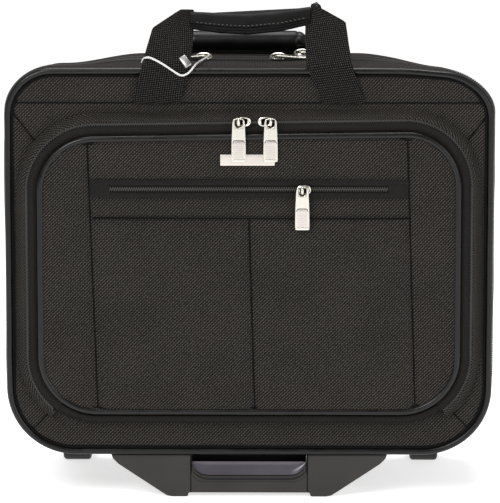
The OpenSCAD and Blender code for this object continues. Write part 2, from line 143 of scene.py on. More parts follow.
class Outline:
    """A rounded outline in x and z, walked anticlockwise from the middle of its lower edge."""

    def __init__(self, hw, low, high, low_r, high_r):
        self.size = (hw, low, high, low_r, high_r)
        straight, arc = "line", "arc"
        q = math.pi / 2
        self.parts = [
            (straight, (0, low), (1, 0), hw - low_r),
            (arc, (hw - low_r, low + low_r), low_r, -q),
            (straight, (hw, low + low_r), (0, 1), high - low - low_r - high_r),
            (arc, (hw - high_r, high - high_r), high_r, 0.0),
            (straight, (hw - high_r, high), (-1, 0), 2 * (hw - high_r)),
            (arc, (-(hw - high_r), high - high_r), high_r, q),
            (straight, (-hw, high - high_r), (0, -1), high - low - low_r - high_r),
            (arc, (-(hw - low_r), low + low_r), low_r, 2 * q),
            (straight, (-(hw - low_r), low), (1, 0), hw - low_r),
        ]
        self.lengths = [p[3] if p[0] == straight else p[2] * q for p in self.parts]
        self.total = sum(self.lengths)

    def at(self, s):
        """Point and outward normal at the distance s along the outline."""
        s = s % self.total
        for part, length in zip(self.parts, self.lengths):
            if s <= length:
                break
            s -= length
        if part[0] == "line":
            (x, z), (dx, dz) = part[1], part[2]
            return (x + dx * s, z + dz * s), (dz, -dx)
        (cx, cz), r, a0 = part[1], part[2], part[3]
        a = a0 + s / r
        return (cx + r * math.cos(a), cz + r * math.sin(a)), (math.cos(a), math.sin(a))

    def span(self, z=None):
        """Distances where the outline rises above z, on the right and on the left."""
        if z is None:
            return 0.0, self.total
        steps = np.linspace(0, self.total / 2, 4001)
        above = next(s for s in steps if self.at(s)[0][1] >= z)
        return above, self.total - above

    def half_width(self, z):
        hw, low, high, low_r, high_r = self.size
        if z < low + low_r:
            d = low + low_r - z
            return hw - low_r + math.sqrt(max(low_r**2 - d**2, 0))
        if z > high - high_r:
            d = z - (high - high_r)
            return hw - high_r + math.sqrt(max(high_r**2 - d**2, 0))
        return hw


def smooth(low, high, value):
    t = min(max((value - low) / (high - low), 0.0), 1.0)
    return t * t * (3 - 2 * t)


def droop(x, y, z):
    """How far the soft top hangs below a straight box, more at the back and towards the corners."""
    back = 4.5 * max(0.0, (y - 14) / 69) ** 1.2 if y > 14 else 0.0
    corner = 9.0 * smooth(-75, 40, y) * smooth(95, 165, abs(x))
    slump = 5.0 * smooth(125, 200, x) * smooth(320, 372, z)
    return (back + corner) * smooth(285, 372, z) + slump


def pocket_sag(x, y, z):
    """The pocket's upper edge rises a little towards the right."""
    return -0.0145 * x * smooth(200, 316, z)


def case_outline(inset=0.0):
    return Outline(CASE_HW - inset, CASE_LOW + inset, CASE_HIGH - inset, BOTTOM_R - inset, TOP_R - inset)


def pocket_outline(inset=0.0):
    return Outline(
        POCKET_HW - inset, POCKET_LOW + inset, POCKET_HIGH - inset, POCKET_BOTTOM_R - inset,
        POCKET_TOP_R - inset
    )


def sweep(name, outline, profile, material, span=None, step=4.0, wobble=0.0, bulge=None, sharp=40.0,
          sag=None):
    """Carries a profile of (out, y) points round an outline, with caps where it is open."""
    s0, s1 = span or (0.0, outline.total)
    ring = span is None
    sag = sag or droop
    count = max(8, int((s1 - s0) / step))
    stations = [s0 + (s1 - s0) * i / count for i in range(count + 1)]
    loop = profile + [profile[0]]
    run = [0.0]
    for a, b in zip(loop, loop[1:]):
        run.append(run[-1] + math.hypot(b[0] - a[0], b[1] - a[1]))
    points, uv = [], []
    for s in stations:
        (x, z), (nx, nz) = outline.at(s)
        row = []
        for out, y in loop:
            extra = bulge(nx, y) if bulge else 0.0
            if wobble:
                extra += wobble * noise.noise(Vector((x * 0.02, y * 0.03, z * 0.02)))
            px, pz = x + nx * (out + extra), z + nz * (out + extra)
            row.append((px, y, pz - sag(px, y, pz)))
        points.append(row)
        uv.append([(s, v) for v in run])
    rows, cols = len(points), len(points[0])
    verts = [p for row in points for p in row]
    faces = grid_faces(rows, cols)
    if not ring:
        faces.append(tuple(range(cols - 1)))
        faces.append(tuple((rows - 1) * cols + c for c in reversed(range(cols - 1))))
    return make(name, verts, faces, [p for row in uv for p in row], material, sharp)


def circle_profile(out, y, r, sides=12, y_scale=1.0):
    return [
        (out + r * math.cos(2 * math.pi * k / sides), y + y_scale * r * math.sin(2 * math.pi * k / sides))
        for k in range(sides)
    ]


def boxes(name, frames, size, material, taper=0.75):
    """Many small blocks in one mesh; a frame is (centre, along, across, up)."""
    verts, faces = [], []
    a, c, u = (s / 2 for s in size)
    for centre, along, across, up in frames:
        base = len(verts)
        for i in (-1, 1):
            for j in (-1, 1):
                for k in (-1, 1):
                    t = taper if k > 0 else 1.0
                    verts.append(
                        tuple(
                            centre[n] + i * a * t * along[n] + j * c * t * across[n] + k * u * up[n]
                            for n in range(3)
                        )
                    )
        for f in ((0, 1, 3, 2), (4, 6, 7, 5), (0, 4, 5, 1), (2, 3, 7, 6), (0, 2, 6, 4), (1, 5, 7, 3)):
            faces.append(tuple(base + i for i in f))
    return make(name, verts, faces, None, material, 30.0)


def tube(name, path, r, material, sides=10, caps=True, flat=1.0, up=(0, 0, 1)):
    """A round or flattened tube along a list of points, in millimetres."""
    path = [Vector(p) for p in path]
    verts, faces, uv, run = [], [], [], 0.0
    side = None
    for i, p in enumerate(path):
        along = (path[min(i + 1, len(path) - 1)] - path[max(i - 1, 0)]).normalized()
        if side is None:
            side = along.cross(Vector(up))
            if side.length < 1e-3:
                side = along.cross(Vector((1, 0, 0)))
        side = (side - along * side.dot(along)).normalized()
        other = along.cross(side)
        if i:
            run += (p - path[i - 1]).length
        for k in range(sides + 1):
            a = 2 * math.pi * k / sides
            verts.append(tuple(p + side * (r * math.cos(a)) + other * (r * flat * math.sin(a))))
            uv.append((run, r * a))
    cols = sides + 1
    faces = grid_faces(len(path), cols)
    if caps:
        faces.append(tuple(range(sides)))
        faces.append(tuple((len(path) - 1) * cols + k for k in reversed(range(sides))))
    return make(name, verts, faces, uv, material)


def plate(name, loops, thick, bevel, material, resolution=2):
    """A flat plate in x and y with round edges, its middle at z = 0. The first loop is the rim."""
    curve = bpy.data.curves.new(name, "CURVE")
    curve.dimensions = "2D"
    curve.fill_mode = "BOTH"
    curve.extrude = (thick / 2 - bevel) * MM
    curve.bevel_depth = bevel * MM
    curve.bevel_resolution = resolution
    curve.offset = -bevel * MM
    for points in loops:
        spline = curve.splines.new("POLY")
        spline.points.add(len(points) - 1)
        for p, (x, y) in zip(spline.points, points):
            p.co = (x * MM, y * MM, 0, 1)
        spline.use_cyclic_u = True
    holder = bpy.data.objects.new(name, curve)
    bpy.context.scene.collection.objects.link(holder)
    mesh = bpy.data.meshes.new_from_object(holder)
    bpy.data.objects.remove(holder)
    obj = bpy.data.objects.new(name, mesh)
    bpy.context.scene.collection.objects.link(obj)
    obj.data.materials.clear()
    obj.data.materials.append(material)
    finish_mesh(obj, 30.0)
    return obj


def join(name, parts):
    """One object of all the parts, their places applied."""
    bm = bmesh.new()
    materials = []
    for part in parts:
        mesh = part.data.copy()
        mesh.transform(part.matrix_world)
        slot_of = []
        for m in part.data.materials:
            if m not in materials:
                materials.append(m)
            slot_of.append(materials.index(m))
        for poly in mesh.polygons:
            poly.material_index = slot_of[poly.material_index]
        bm.from_mesh(mesh)
        bpy.data.meshes.remove(mesh)
        bpy.data.objects.remove(part)
    mesh = bpy.data.meshes.new(name)
    bm.to_mesh(mesh)
    bm.free()
    for m in materials:
        mesh.materials.append(m)
    mesh.set_sharp_from_angle(angle=math.radians(35))
    obj = bpy.data.objects.new(name, mesh)
    bpy.context.scene.collection.objects.link(obj)
    return obj


def thicken(obj, thick, offset=0.0):
    """Gives a sheet a real thickness with rounded edges, applied to the mesh."""
    solid = obj.modifiers.new("solid", "SOLIDIFY")
    solid.thickness = thick * MM
    solid.offset = offset
    bevel = obj.modifiers.new("bevel", "BEVEL")
    bevel.width = min(thick * 0.3, 0.7) * MM
    bevel.segments = 2
    bevel.limit_method = "ANGLE"
    bevel.angle_limit = math.radians(50)
    apply_modifiers(obj)


def apply_modifiers(obj):
    graph = bpy.context.evaluated_depsgraph_get()
    graph.update()
    mesh = bpy.data.meshes.new_from_object(obj.evaluated_get(graph), preserve_all_data_layers=True,
                                           depsgraph=graph)
    old = obj.data
    obj.modifiers.clear()
    obj.data = mesh
    bpy.data.meshes.remove(old)
    mesh.polygons.foreach_set("use_smooth", [True] * len(mesh.polygons))
    mesh.set_sharp_from_angle(angle=math.radians(42))


def place(obj, matrix):
    obj.data.transform(matrix)
    return obj


def rounded(hx, hy, r, steps=6, cx=0.0, cy=0.0):
    """A rounded rectangle as a loop of points."""
    out = []
    for sx, sy, a0 in ((1, -1, -90), (1, 1, 0), (-1, 1, 90), (-1, -1, 180)):
        for i in range(steps + 1):
            a = math.radians(a0 + 90 * i / steps)
            out.append((cx + sx * (hx - r) + r * math.cos(a), cy + sy * (hy - r) + r * math.sin(a)))
    return out


# ---- pieces made from CAD nodes -------------------------------------------------------------
def settle(obj):
    """Lets a piece on the soft top down with the cloth."""
    for v in obj.data.vertices:
        x, y, z = (c / MM for c in v.co)
        if z > CASE_HIGH - 12:
            v.co.z -= droop(x, y, CASE_HIGH) * MM


def softened(node, name, material, width, slot, body, segments=3, dissolve=1.0):
    """A copy of a CAD node with its edges rounded, standing in for the node."""
    source = frame["nodes"][node]
    obj = bpy.data.objects.new(name, source.data.copy())
    bpy.context.scene.collection.objects.link(obj)
    obj.data.materials.clear()
    bm = bmesh.new()
    bm.from_mesh(obj.data)
    bmesh.ops.remove_doubles(bm, verts=bm.verts, dist=0.005 * MM)
    bmesh.ops.dissolve_limit(bm, angle_limit=math.radians(dissolve), verts=bm.verts, edges=bm.edges)
    for face in bm.faces:
        face.material_index = 0
    bm.to_mesh(obj.data)
    bm.free()
    obj.data.materials.append(material)
    if width:
        bevel = obj.modifiers.new("bevel", "BEVEL")
        bevel.width = width * MM
        bevel.segments = segments
        bevel.limit_method = "ANGLE"
        bevel.angle_limit = math.radians(32)
        bevel.harden_normals = False
    apply_modifiers(obj)
    attach(obj, body, slot, node)
    return obj


def dress(node, material):
    """Gives a CAD node that stays in view a better material."""
    obj = frame["nodes"][node]
    obj.data.materials.clear()
    obj.data.materials.append(material)
    for poly in obj.data.polygons:
        poly.material_index = 0


# ---- materials ------------------------------------------------------------------------------
class Mat:
    """A material under construction: a few shorthands over its node tree."""

    def __init__(self, name, color, rough, metallic=0.0, specular=None, **inputs):
        self.m = bpy.data.materials.new(name)
        self.m.use_nodes = True
        self.n = self.m.node_tree.nodes
        self.l = self.m.node_tree.links
        self.bsdf = self.n["Principled BSDF"]
        self.bsdf.inputs["Base Color"].default_value = (*color, 1)
        self.bsdf.inputs["Roughness"].default_value = rough
        self.bsdf.inputs["Metallic"].default_value = metallic
        if specular is not None:
            self.bsdf.inputs["Specular IOR Level"].default_value = specular
        for key, value in inputs.items():
            self.bsdf.inputs[key.replace("_", " ")].default_value = value

    def put(self, value, socket):
        if hasattr(value, "is_linked"):
            self.l.new(value, socket)
        else:
            socket.default_value = value

    def math(self, op, a, b=0.0, clamp=False):
        node = self.n.new("ShaderNodeMath")
        node.operation = op
        node.use_clamp = clamp
        self.put(a, node.inputs[0])
        self.put(b, node.inputs[1])
        return node.outputs[0]

    def coords(self, kind="UV", scale=(1, 1, 1), turn=0.0):
        source = self.n.new("ShaderNodeTexCoord").outputs[kind]
        node = self.n.new("ShaderNodeMapping")
        self.l.new(source, node.inputs["Vector"])
        node.inputs["Scale"].default_value = scale
        node.inputs["Rotation"].default_value = (0, 0, math.radians(turn))
        return node.outputs[0]

    def split(self, vector):
        node = self.n.new("ShaderNodeSeparateXYZ")
        self.l.new(vector, node.inputs[0])
        return node.outputs[0], node.outputs[1]

    def noise(self, vector, scale, detail=3.0, rough=0.5):
        node = self.n.new("ShaderNodeTexNoise")
        self.l.new(vector, node.inputs["Vector"])
        node.inputs["Scale"].default_value = scale
        node.inputs["Detail"].default_value = detail
        node.inputs["Roughness"].default_value = rough
        return node.outputs["Fac"]

    def voronoi(self, vector, scale, feature="DISTANCE_TO_EDGE"):
        node = self.n.new("ShaderNodeTexVoronoi")
        node.feature = feature
        self.l.new(vector, node.inputs["Vector"])
        node.inputs["Scale"].default_value = scale
        return node.outputs["Distance"]

    def ramp(self, fac, stops):
        node = self.n.new("ShaderNodeValToRGB")
        while len(node.color_ramp.elements) < len(stops):
            node.color_ramp.elements.new(0.5)
        for element, (at, color) in zip(node.color_ramp.elements, stops):
            element.position = at
            element.color = (*color, 1) if len(color) == 3 else color
        self.l.new(fac, node.inputs[0])
        return node.outputs["Color"]

    def scale_range(self, value, low, high, out_low, out_high):
        node = self.n.new("ShaderNodeMapRange")
        self.l.new(value, node.inputs["Value"])
        for key, v in (("From Min", low), ("From Max", high), ("To Min", out_low), ("To Max", out_high)):
            node.inputs[key].default_value = v
        return node.outputs["Result"]

    def bump(self, height, distance, strength=1.0, chain=None):
        node = self.n.new("ShaderNodeBump")
        node.inputs["Distance"].default_value = distance * MM
        node.inputs["Strength"].default_value = strength
        self.l.new(height, node.inputs["Height"])
        if chain is not None:
            self.l.new(chain, node.inputs["Normal"])
        return node.outputs["Normal"]

    def base(self, color):
        self.l.new(color, self.bsdf.inputs["Base Color"])

    def rough(self, value):
        self.l.new(value, self.bsdf.inputs["Roughness"])

    def normal(self, value):
        self.l.new(value, self.bsdf.inputs["Normal"])


def waves(mat, pitch, turn=0.0):
    """Two crossed sine waves of the given pitch, in millimetres, along the cloth's uv."""
    k = 2 * math.pi / (pitch * MM)
    u, v = mat.split(mat.coords("UV", (k, k, k), turn))
    return mat.math("SINE", u), mat.math("SINE", v)


def nylon(name, dark, light, pitch, turn, twill=0.45, rough=0.7):
    """Ballistic nylon: raised dots of thread in diagonal rows; their light colour is partly the weave and
    partly a painted glint on the threads.
    """
    mat = Mat(name, light, rough, 0.0, 0.09)
    a, b = waves(mat, pitch, turn)
    dots = mat.math("MULTIPLY", a, mat.math("ADD", mat.math("MULTIPLY", b, 1 - twill), twill))
    lift = mat.scale_range(dots, -0.7, 0.9, 0.0, 1.0)
    spread = mat.noise(mat.coords("Object"), 26.0, 4.0)
    fleck = mat.noise(mat.coords("UV"), 620.0, 2.0)
    fac = mat.math("MULTIPLY", lift, mat.scale_range(spread, 0.3, 0.7, 0.92, 1.05))
    fac = mat.math("MULTIPLY", fac, mat.scale_range(fleck, 0.3, 0.7, 0.62, 1.28), clamp=True)
    middle_tone = tuple(d + (l - d) * 0.25 for d, l in zip(dark, light))
    # The light end of this ramp is partly the threads' own tone and partly a painted glint.
    mat.base(mat.ramp(fac, [(0.0, dark), (0.5, middle_tone), (1.0, light)]))
    mat.rough(mat.scale_range(lift, 0.0, 1.0, rough + 0.15, rough - 0.15))
    mat.normal(mat.bump(lift, 0.4, 0.8, mat.bump(spread, 2.0, 0.12)))
    return mat.m


def tape_cloth(name, color, pitch=1.4):
    mat = Mat(name, color, 0.8, 0.0, 0.12)
    a, b = waves(mat, pitch)
    fac = mat.scale_range(mat.math("MULTIPLY", a, b), -1, 1, 0, 1)
    mat.base(mat.ramp(fac, [(0.0, tuple(c * 0.5 for c in color)), (1.0, tuple(c * 1.6 for c in color))]))
    mat.normal(mat.bump(fac, 0.2, 0.5))
    return mat.m


def webbing_cloth(name, dark, light, pitch=3.1):
    """Coarse webbing: crossings of thread in staggered rows; their bright colour is partly the weave and
    partly a painted glint.
    """
    mat = Mat(name, light, 0.7, 0.0, 0.08)
    a, b = waves(mat, pitch, 38.0)
    crossings = mat.scale_range(mat.math("MULTIPLY", a, b), 0.05, 0.95, 0.0, 1.0)
    fleck = mat.noise(mat.coords("UV"), 480.0, 2.0)
    fac = mat.math("MULTIPLY", crossings, mat.scale_range(fleck, 0.35, 0.65, 0.7, 1.3), clamp=True)
    # The bright end of this ramp is partly the webbing's own tone and partly a painted glint.
    mat.base(mat.ramp(fac, [(0.0, dark), (0.45, tuple((d + l) * 0.25 for d, l in zip(dark, light))),
                            (1.0, light)]))
    mat.normal(mat.bump(fac, 0.5, 0.8))
    return mat.m


def leather(name, color, rough, grain=900.0, depth=0.12, specular=0.5):
    mat = Mat(name, color, rough, 0.0, specular)
    where = mat.coords("Object")
    cells = mat.voronoi(where, grain)
    soft = mat.noise(where, 60.0, 5.0)
    mat.base(mat.ramp(soft, [(0.3, tuple(c * 0.7 for c in color)), (0.7, tuple(c * 1.4 for c in color))]))
    mat.rough(mat.scale_range(soft, 0.3, 0.7, rough - 0.06, rough + 0.1))
    mat.normal(mat.bump(cells, depth, 0.35, mat.bump(soft, 1.2, 0.25)))
    return mat.m


def moulded(name, color, rough, grain=2200.0, depth=0.05, specular=0.5):
    """Satin moulded plastic with a fine spark-eroded grain."""
    mat = Mat(name, color, rough, 0.0, specular)
    where = mat.coords("Object")
    fine = mat.noise(where, grain, 3.0)
    broad = mat.noise(where, 25.0, 3.0)
    mat.base(mat.ramp(broad, [(0.3, tuple(c * 0.88 for c in color)),
                              (0.7, tuple(c * 1.12 for c in color))]))
    mat.rough(mat.scale_range(broad, 0.3, 0.7, rough - 0.05, rough + 0.05))
    mat.normal(mat.bump(fine, depth, 0.4))
    return mat.m


def metal(name, color, rough, brushed=0.04, stretch=(40, 900, 900)):
    mat = Mat(name, color, rough, 1.0)
    where = mat.coords("Object", stretch)
    lines = mat.noise(where, 1.0, 4.0)
    smear = mat.noise(mat.coords("Object"), 90.0, 3.0)
    mat.base(mat.ramp(smear, [(0.3, tuple(c * 0.93 for c in color)), (0.7, color)]))
    mat.rough(mat.scale_range(smear, 0.3, 0.7, rough - 0.05, rough + 0.08))
    mat.normal(mat.bump(lines, brushed, 0.3))
    return mat.m


# The light tone of the nylons' raised dots is partly the weave and partly a painted glint of the threads.
FABRIC_DARK, FABRIC_THREAD_AND_GLINT = (0.0013, 0.0011, 0.001), (0.07, 0.062, 0.0545)
panel_nylon = nylon("panel_nylon", FABRIC_DARK, FABRIC_THREAD_AND_GLINT, 2.1, 45.0, 0.55)
yoke_nylon = nylon("yoke_nylon", FABRIC_DARK, tuple(c * 1.05 for c in FABRIC_THREAD_AND_GLINT), 2.1, 45.0, 0.5)
gusset_nylon = nylon("gusset_nylon", FABRIC_DARK, tuple(c * 1.1 for c in FABRIC_THREAD_AND_GLINT), 2.0, 45.0, 0.3)
trim_nylon = nylon("trim_nylon", (0.003, 0.0028, 0.0025), (0.032, 0.029, 0.026), 1.5, 45.0, 0.4)
zip_tape = tape_cloth("zip_tape", (0.0035, 0.0033, 0.0032))
tooth_plastic = moulded("zip_teeth", (0.05, 0.048, 0.045), 0.36)
webbing_mat = webbing_cloth("webbing", (0.001, 0.0009, 0.0008), (0.07, 0.063, 0.057), 2.7)
piping_vinyl = leather("piping_vinyl", (0.0022, 0.0021, 0.002), 0.28, 1500.0, 0.05, 0.3)
# Near-black material for lines laid in grooves, seams, steps and corners: painted shade.
shade_line_black = tape_cloth("shade_line_black", (0.0016, 0.0016, 0.0015), 1.0)
grip_leather = leather("grip_leather", (0.0013, 0.0012, 0.0011), 0.5, specular=0.14)
tube_leather = leather("tube_leather", (0.0016, 0.0016, 0.0016), 0.34, 700.0, 0.08, 0.25)
stitch_thread = tape_cloth("stitch_thread", (0.07, 0.066, 0.06), 0.5)
foot_plastic = moulded("foot_plastic", (0.029, 0.026, 0.0235), 0.5, specular=0.25)
# Real black plastic parts, and painted shade where it lines the foot's recess and groove.
black_plastic_and_shade = moulded("black_plastic_and_shade", (0.006, 0.006, 0.006), 0.45, specular=0.25)
# Violet-grey of the foot's glossy lip: a painted reflection of the shaded floor.
painted_reflection_plastic = moulded("painted_reflection_plastic", (0.062, 0.055, 0.068), 0.2, 300.0, 0.02)
bright_metal = metal("bright_metal", (0.7, 0.67, 0.6), 0.24)
plate_metal = metal("plate_metal", (0.66, 0.61, 0.57), 0.34, 0.05)
clip_metal = metal("clip_metal", (0.4, 0.39, 0.38), 0.3, 0.05)
tube_metal = metal("tube_metal", (0.6, 0.61, 0.63), 0.3, 0.03, (900, 900, 30))
steel = metal("axle_steel", (0.5, 0.5, 0.5), 0.28)
tyre_rubber = moulded("tyre_rubber", (0.008, 0.008, 0.008), 0.6, 1500.0, 0.08, 0.3)
lining_cloth = tape_cloth("lining_cloth", (0.05, 0.05, 0.056), 0.9)
elastic_white = tape_cloth("elastic_white", (0.62, 0.62, 0.6), 0.6)


# ---- camera, light and floor ----------------------------------------------------------------
def aim(obj, target):
    obj.rotation_euler = (Vector(target) - obj.location).to_track_quat("-Z", "Y").to_euler()


def stage_scene():
    scene = bpy.context.scene
    scene.view_settings.view_transform = "Standard"
    camera = bpy.data.objects.new("camera", bpy.data.cameras.new("camera"))
    scene.collection.objects.link(camera)
    camera.location = (0.025, -3.125, 0.72)
    aim(camera, (0.0008, -0.076, 0.2165))
    camera.data.lens = 257.5
    camera.data.clip_end = 60
    scene.camera = camera
    world = bpy.data.worlds.new("studio")
    scene.world = world
    world.use_nodes = True
    world.node_tree.nodes["Background"].inputs["Color"].default_value = (1, 1, 1, 1)
    world.node_tree.nodes["Background"].inputs["Strength"].default_value = 0.36
    for name, at, size, power, target in (
        ("key", (-1.2, -2.2, 1.9), 1.2, 50, (0, 0, 0.2)),
        ("fill", (1.9, -1.9, 1.0), 1.4, 20, (0, 0, 0.2)),
        ("top", (0.0, 0.2, 2.0), 1.2, 28, (0, 0, 0.2)),
    ):
        light = bpy.data.lights.new(name, "AREA")
        light.size = size
        light.energy = power
        obj = bpy.data.objects.new(name, light)
        scene.collection.objects.link(obj)
        obj.location = at
        aim(obj, target)
    floor_mat = Mat("floor", (0.88, 0.88, 0.88), 0.6, 0.0, 0.1, Emission_Color=(1, 1, 1, 1),
                    Emission_Strength=0.66)
    where = floor_mat.coords("Object")
    floor_mat.base(floor_mat.ramp(floor_mat.noise(where, 2.0),
                                  [(0.3, (0.87, 0.87, 0.87)), (0.7, (0.9, 0.9, 0.9))]))
    side = 9000.0
    floor = make("floor", [(-side, -side, 0), (side, -side, 0), (side, side, 0), (-side, side, 0)],
                 [(0, 1, 2, 3)],
                 None, floor_mat.m)


stage_scene()


# ---- elastic string of the swing tag --------------------------------------------------------
TAG_ROUTE = [
    (-35, -18.5, 379.5), (-38, -32, 378.5), (-42, -50, 378), (-45, -68, 377.6), (-47.3, -79.5, 376),
    (-49, -83.8, 374), (-53, -84.3, 370.6), (-58, -84.3, 369.5), (-64.5, -84, 373.2),
    (-70.5, -83.4, 377.2),
    (-76, -82.2, 380.4), (-81, -80.8, 382.8), (-86, -79, 384.3), (-90, -76, 382.5), (-91.5, -71, 379),
]
TAG_R = 0.85


def spline_points(route, steps):
    """A smooth line through the route's points, the same as the CAD's."""
    line = []
    last = len(route) - 1
    for i in range(last):
        a, b, c, d = (Vector(route[min(max(k, 0), last)]) for k in (i - 1, i, i + 1, i + 2))
        for k in range(steps):
            t = k / steps
            square, cube = 2 * a - 5 * b + 4 * c - d, 3 * b - a - 3 * c + d
            line.append(0.5 * (2 * b + (c - a) * t + square * t**2 + cube * t**3))
    return line + [Vector(route[-1])]


def build_tag_string():
    line = [p * MM for p in spline_points(TAG_ROUTE, 4)]
    curve = bpy.data.curves.new("tag_string", "CURVE")
    curve.dimensions = "3D"
    curve.bevel_depth = TAG_R * MM
    curve.bevel_resolution = 3
    curve.use_fill_caps = True
    spline = curve.splines.new("POLY")
    spline.points.add(len(line) - 1)
    for point, p in zip(spline.points, line):
        point.co = (*p, 1)
    curve.materials.append(elastic_white)
    string = bpy.data.objects.new("tag_string", curve)
    bpy.context.scene.collection.objects.link(string)
    attach(string, "carry_handle_front", "tag_elastic", "tag_cord")
    clip = softened("tag_crimp", "tag_clip", clip_metal, 0.9, "bright_metal", "carry_handle_front")


build_tag_string()


# ---- front panel ----------------------------------------------------------------------------
def seam_depth(x, z, seams, width=1.3):
    """How far a point sinks into the nearest of some straight seams, from 0 to 1."""
    best = 0.0
    for (x0, z0), (x1, z1) in seams:
        dx, dz = x1 - x0, z1 - z0
        t = ((x - x0) * dx + (z - z0) * dz) / (dx * dx + dz * dz)
        t = min(max(t, 0.0), 1.0)
        d = math.hypot(x - x0 - t * dx, z - z0 - t * dz)
        best = max(best, math.exp(-((d / width) ** 2)))
    return best


def edge_distance(outline, x, z):
    """Distance inside a rounded outline, roughly: positive inside."""
    hw, low, high, low_r, high_r = outline.size
    cx, cz = abs(x), z
    r = low_r if z < low + low_r else high_r
    if cx > hw - r and (z < low + low_r or z > high - high_r):
        zc = low + low_r if z < low + low_r else high - high_r
        return r - math.hypot(cx - (hw - r), cz - zc)
    return min(hw - cx, cz - low, high - cz)


def row_grid(outline, step, depth):
    """Points of a panel, row by row between the outline's sides; depth gives y from x, z."""
    hw, low, high, _, _ = outline.size
    rows = int((high - low) / step)
    cols = int(2 * hw / step)
    points, uv = [], []
    for r in range(rows + 1):
        t = r / rows
        z = low + (high - low) * t
        w = outline.half_width(z)
        line = [(w * (2 * c / cols - 1), z) for c in range(cols + 1)]
        points.append([(x, depth(x, z), z) for x, z in line])
        uv.append(line)
    return points, uv


FRONT_SEAMS = [
    ((-203, YOKE_Z - 7), (-176, 302)),
    ((202, YOKE_Z - 13), (177, 300)),
    ((-171, 77), (-190, 57)),
    ((175, 77), (194, 57)),
    ((-206, YOKE_Z), (206, YOKE_Z)),
]


def seam_shade_lines(name, seams, body, surface, r=0.62):
    """Near-black lines lying in each of the panel's seams: painted shade of the seam grooves."""
    parts = []
    for (x0, z0), (x1, z1) in seams:
        count = max(4, int(math.hypot(x1 - x0, z1 - z0) / 4))
        path = [(x0 + (x1 - x0) * i / count, z0 + (z1 - z0) * i / count) for i in range(count + 1)]
        parts.append(tube("seam", [(x, surface(x, z) - 0.5, z) for x, z in path], r, shade_line_black, 6))
    piece = join(name, parts)
    attach(piece, body, "case_fabric")


def build_front_panel():
    edge = case_outline(4.6)
    rim = pocket_outline(-17)

    def depth(x, z):
        inside = edge_distance(edge, x, z)
        outside = -edge_distance(rim, x, z)
        crown = 2.2 * (1 - math.exp(-max(inside, 0) / 5.0)) * (1 - math.exp(-max(outside, 0) / 5.0))
        soft = 0.7 * noise.noise(Vector((x * 0.018, z * 0.022, 3.0))) * min(inside / 12, 1)
        sink = 1.3 * seam_depth(x, z, FRONT_SEAMS, 2.6)
        return BOARD_Y + 1.2 - crown - soft + sink

    points, uv = row_grid(edge, 2.2, depth)
    front = grid("front_panel_cloth", points, uv, yoke_nylon, 60)
    attach(front, "front_section", "case_fabric")
    back, back_uv = row_grid(
        case_outline(4.0), 8.0, lambda x, z: BOARD_BACK_Y + 0.2 * math.sin(x / 9) * math.sin(z / 9)
    )
    seam_shade_lines("front_panel_seam_shade", FRONT_SEAMS, "front_section", depth)
    lining = grid("front_panel_lining", back, back_uv, lining_cloth)
    attach(lining, "front_section", "lining_fabric")
    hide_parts("front_board")


def side_bulge(nx, y):
    """The side walls stand a little proud towards the main zip."""
    t = max(0.0, 1 - abs(y - 4) / 82)
    return SIDE_BULGE * abs(nx) ** 2 * math.sin(t * math.pi / 2)


def gusset_profile(y0, y1, thick=2.6, steps=10, sink=1.0):
    """Outer skin from y0 to y1, sunk at both edges, and the lining inside it."""
    outer = []
    for i in range(steps + 1):
        t = i / steps
        dip = sink * (math.exp(-((y1 - y0) * t / 2.2)) + math.exp(-((y1 - y0) * (1 - t) / 2.2)))
        outer.append((-dip, y0 + (y1 - y0) * t))
    inner = [(-thick, y) for _, y in reversed(outer)]
    return outer + inner


def build_gussets():
    outline = case_outline()
    lid = outline.span(LID_Z)
    tray = (-(outline.total - outline.span(LID_Z - 0.4)[1]), outline.span(LID_Z - 0.4)[0])
    made = [
        ("front_gusset_cloth", (BOARD_Y + 4.1, LID_BACK_Y), lid, "front_section", "front_gusset"),
        ("bottom_gusset_cloth", (BOARD_Y + 5, MID_Y[0] - 0.1), tray, "case_body", "bottom_gusset"),
        ("mid_gusset_cloth", MID_Y, None, "case_body", "mid_gusset"),
    ]
    for name, ys, span, body, node in made:
        piece = sweep(name, outline, gusset_profile(*ys), gusset_nylon, span, 4.0, 1.0, side_bulge)
        attach(piece, body, "case_fabric", node)
    rear = sweep("rear_gusset_cloth", outline, gusset_profile(*REAR_Y, steps=14), gusset_nylon, None,
                 4.0, 1.0, side_bulge)
    lower = sweep("rear_gusset_lower_cloth", outline, gusset_profile(MID_Y[1] + 0.1, REAR_Y[0]),
                  gusset_nylon, tray, 4.0,
                  1.0, side_bulge)
    for piece in (rear, lower):
        cut_space(piece, corner_boxes())
        attach(piece, "case_body", "case_fabric")
    tub_low, tub_high = mm_box("trolley_bezel")
    mouth = ((tub_low[0] + 13, tub_low[1] + 4.5, CASE_HIGH - 20),
             (tub_high[0] - 13, tub_high[1] - 1, CASE_HIGH + 9))
    cut_space(rear, [mouth])
    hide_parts("rear_gusset")


def corner_boxes():
    low, high = mm_box("wheel_housing_right")
    right = ((low[0] + 1, low[1] + 1, 0), (high[0] + 20, high[1] + 20, high[2] - 2))
    left = ((-high[0] - 20, low[1] + 1, 0), (-low[0] - 1, high[1] + 20, high[2] - 2))
    return [right, left]


def cut_space(obj, spaces):
    """Removes the faces whose middle lies in one of the boxes."""
    bm = bmesh.new()
    bm.from_mesh(obj.data)
    doomed = []
    for face in bm.faces:
        c = face.calc_center_median() / MM
        if any(all(low[i] < c[i] < high[i] for i in range(3)) for low, high in spaces):
            doomed.append(face)
    bmesh.ops.delete(bm, geom=doomed, context="FACES")
    bm.to_mesh(obj.data)
    bm.free()


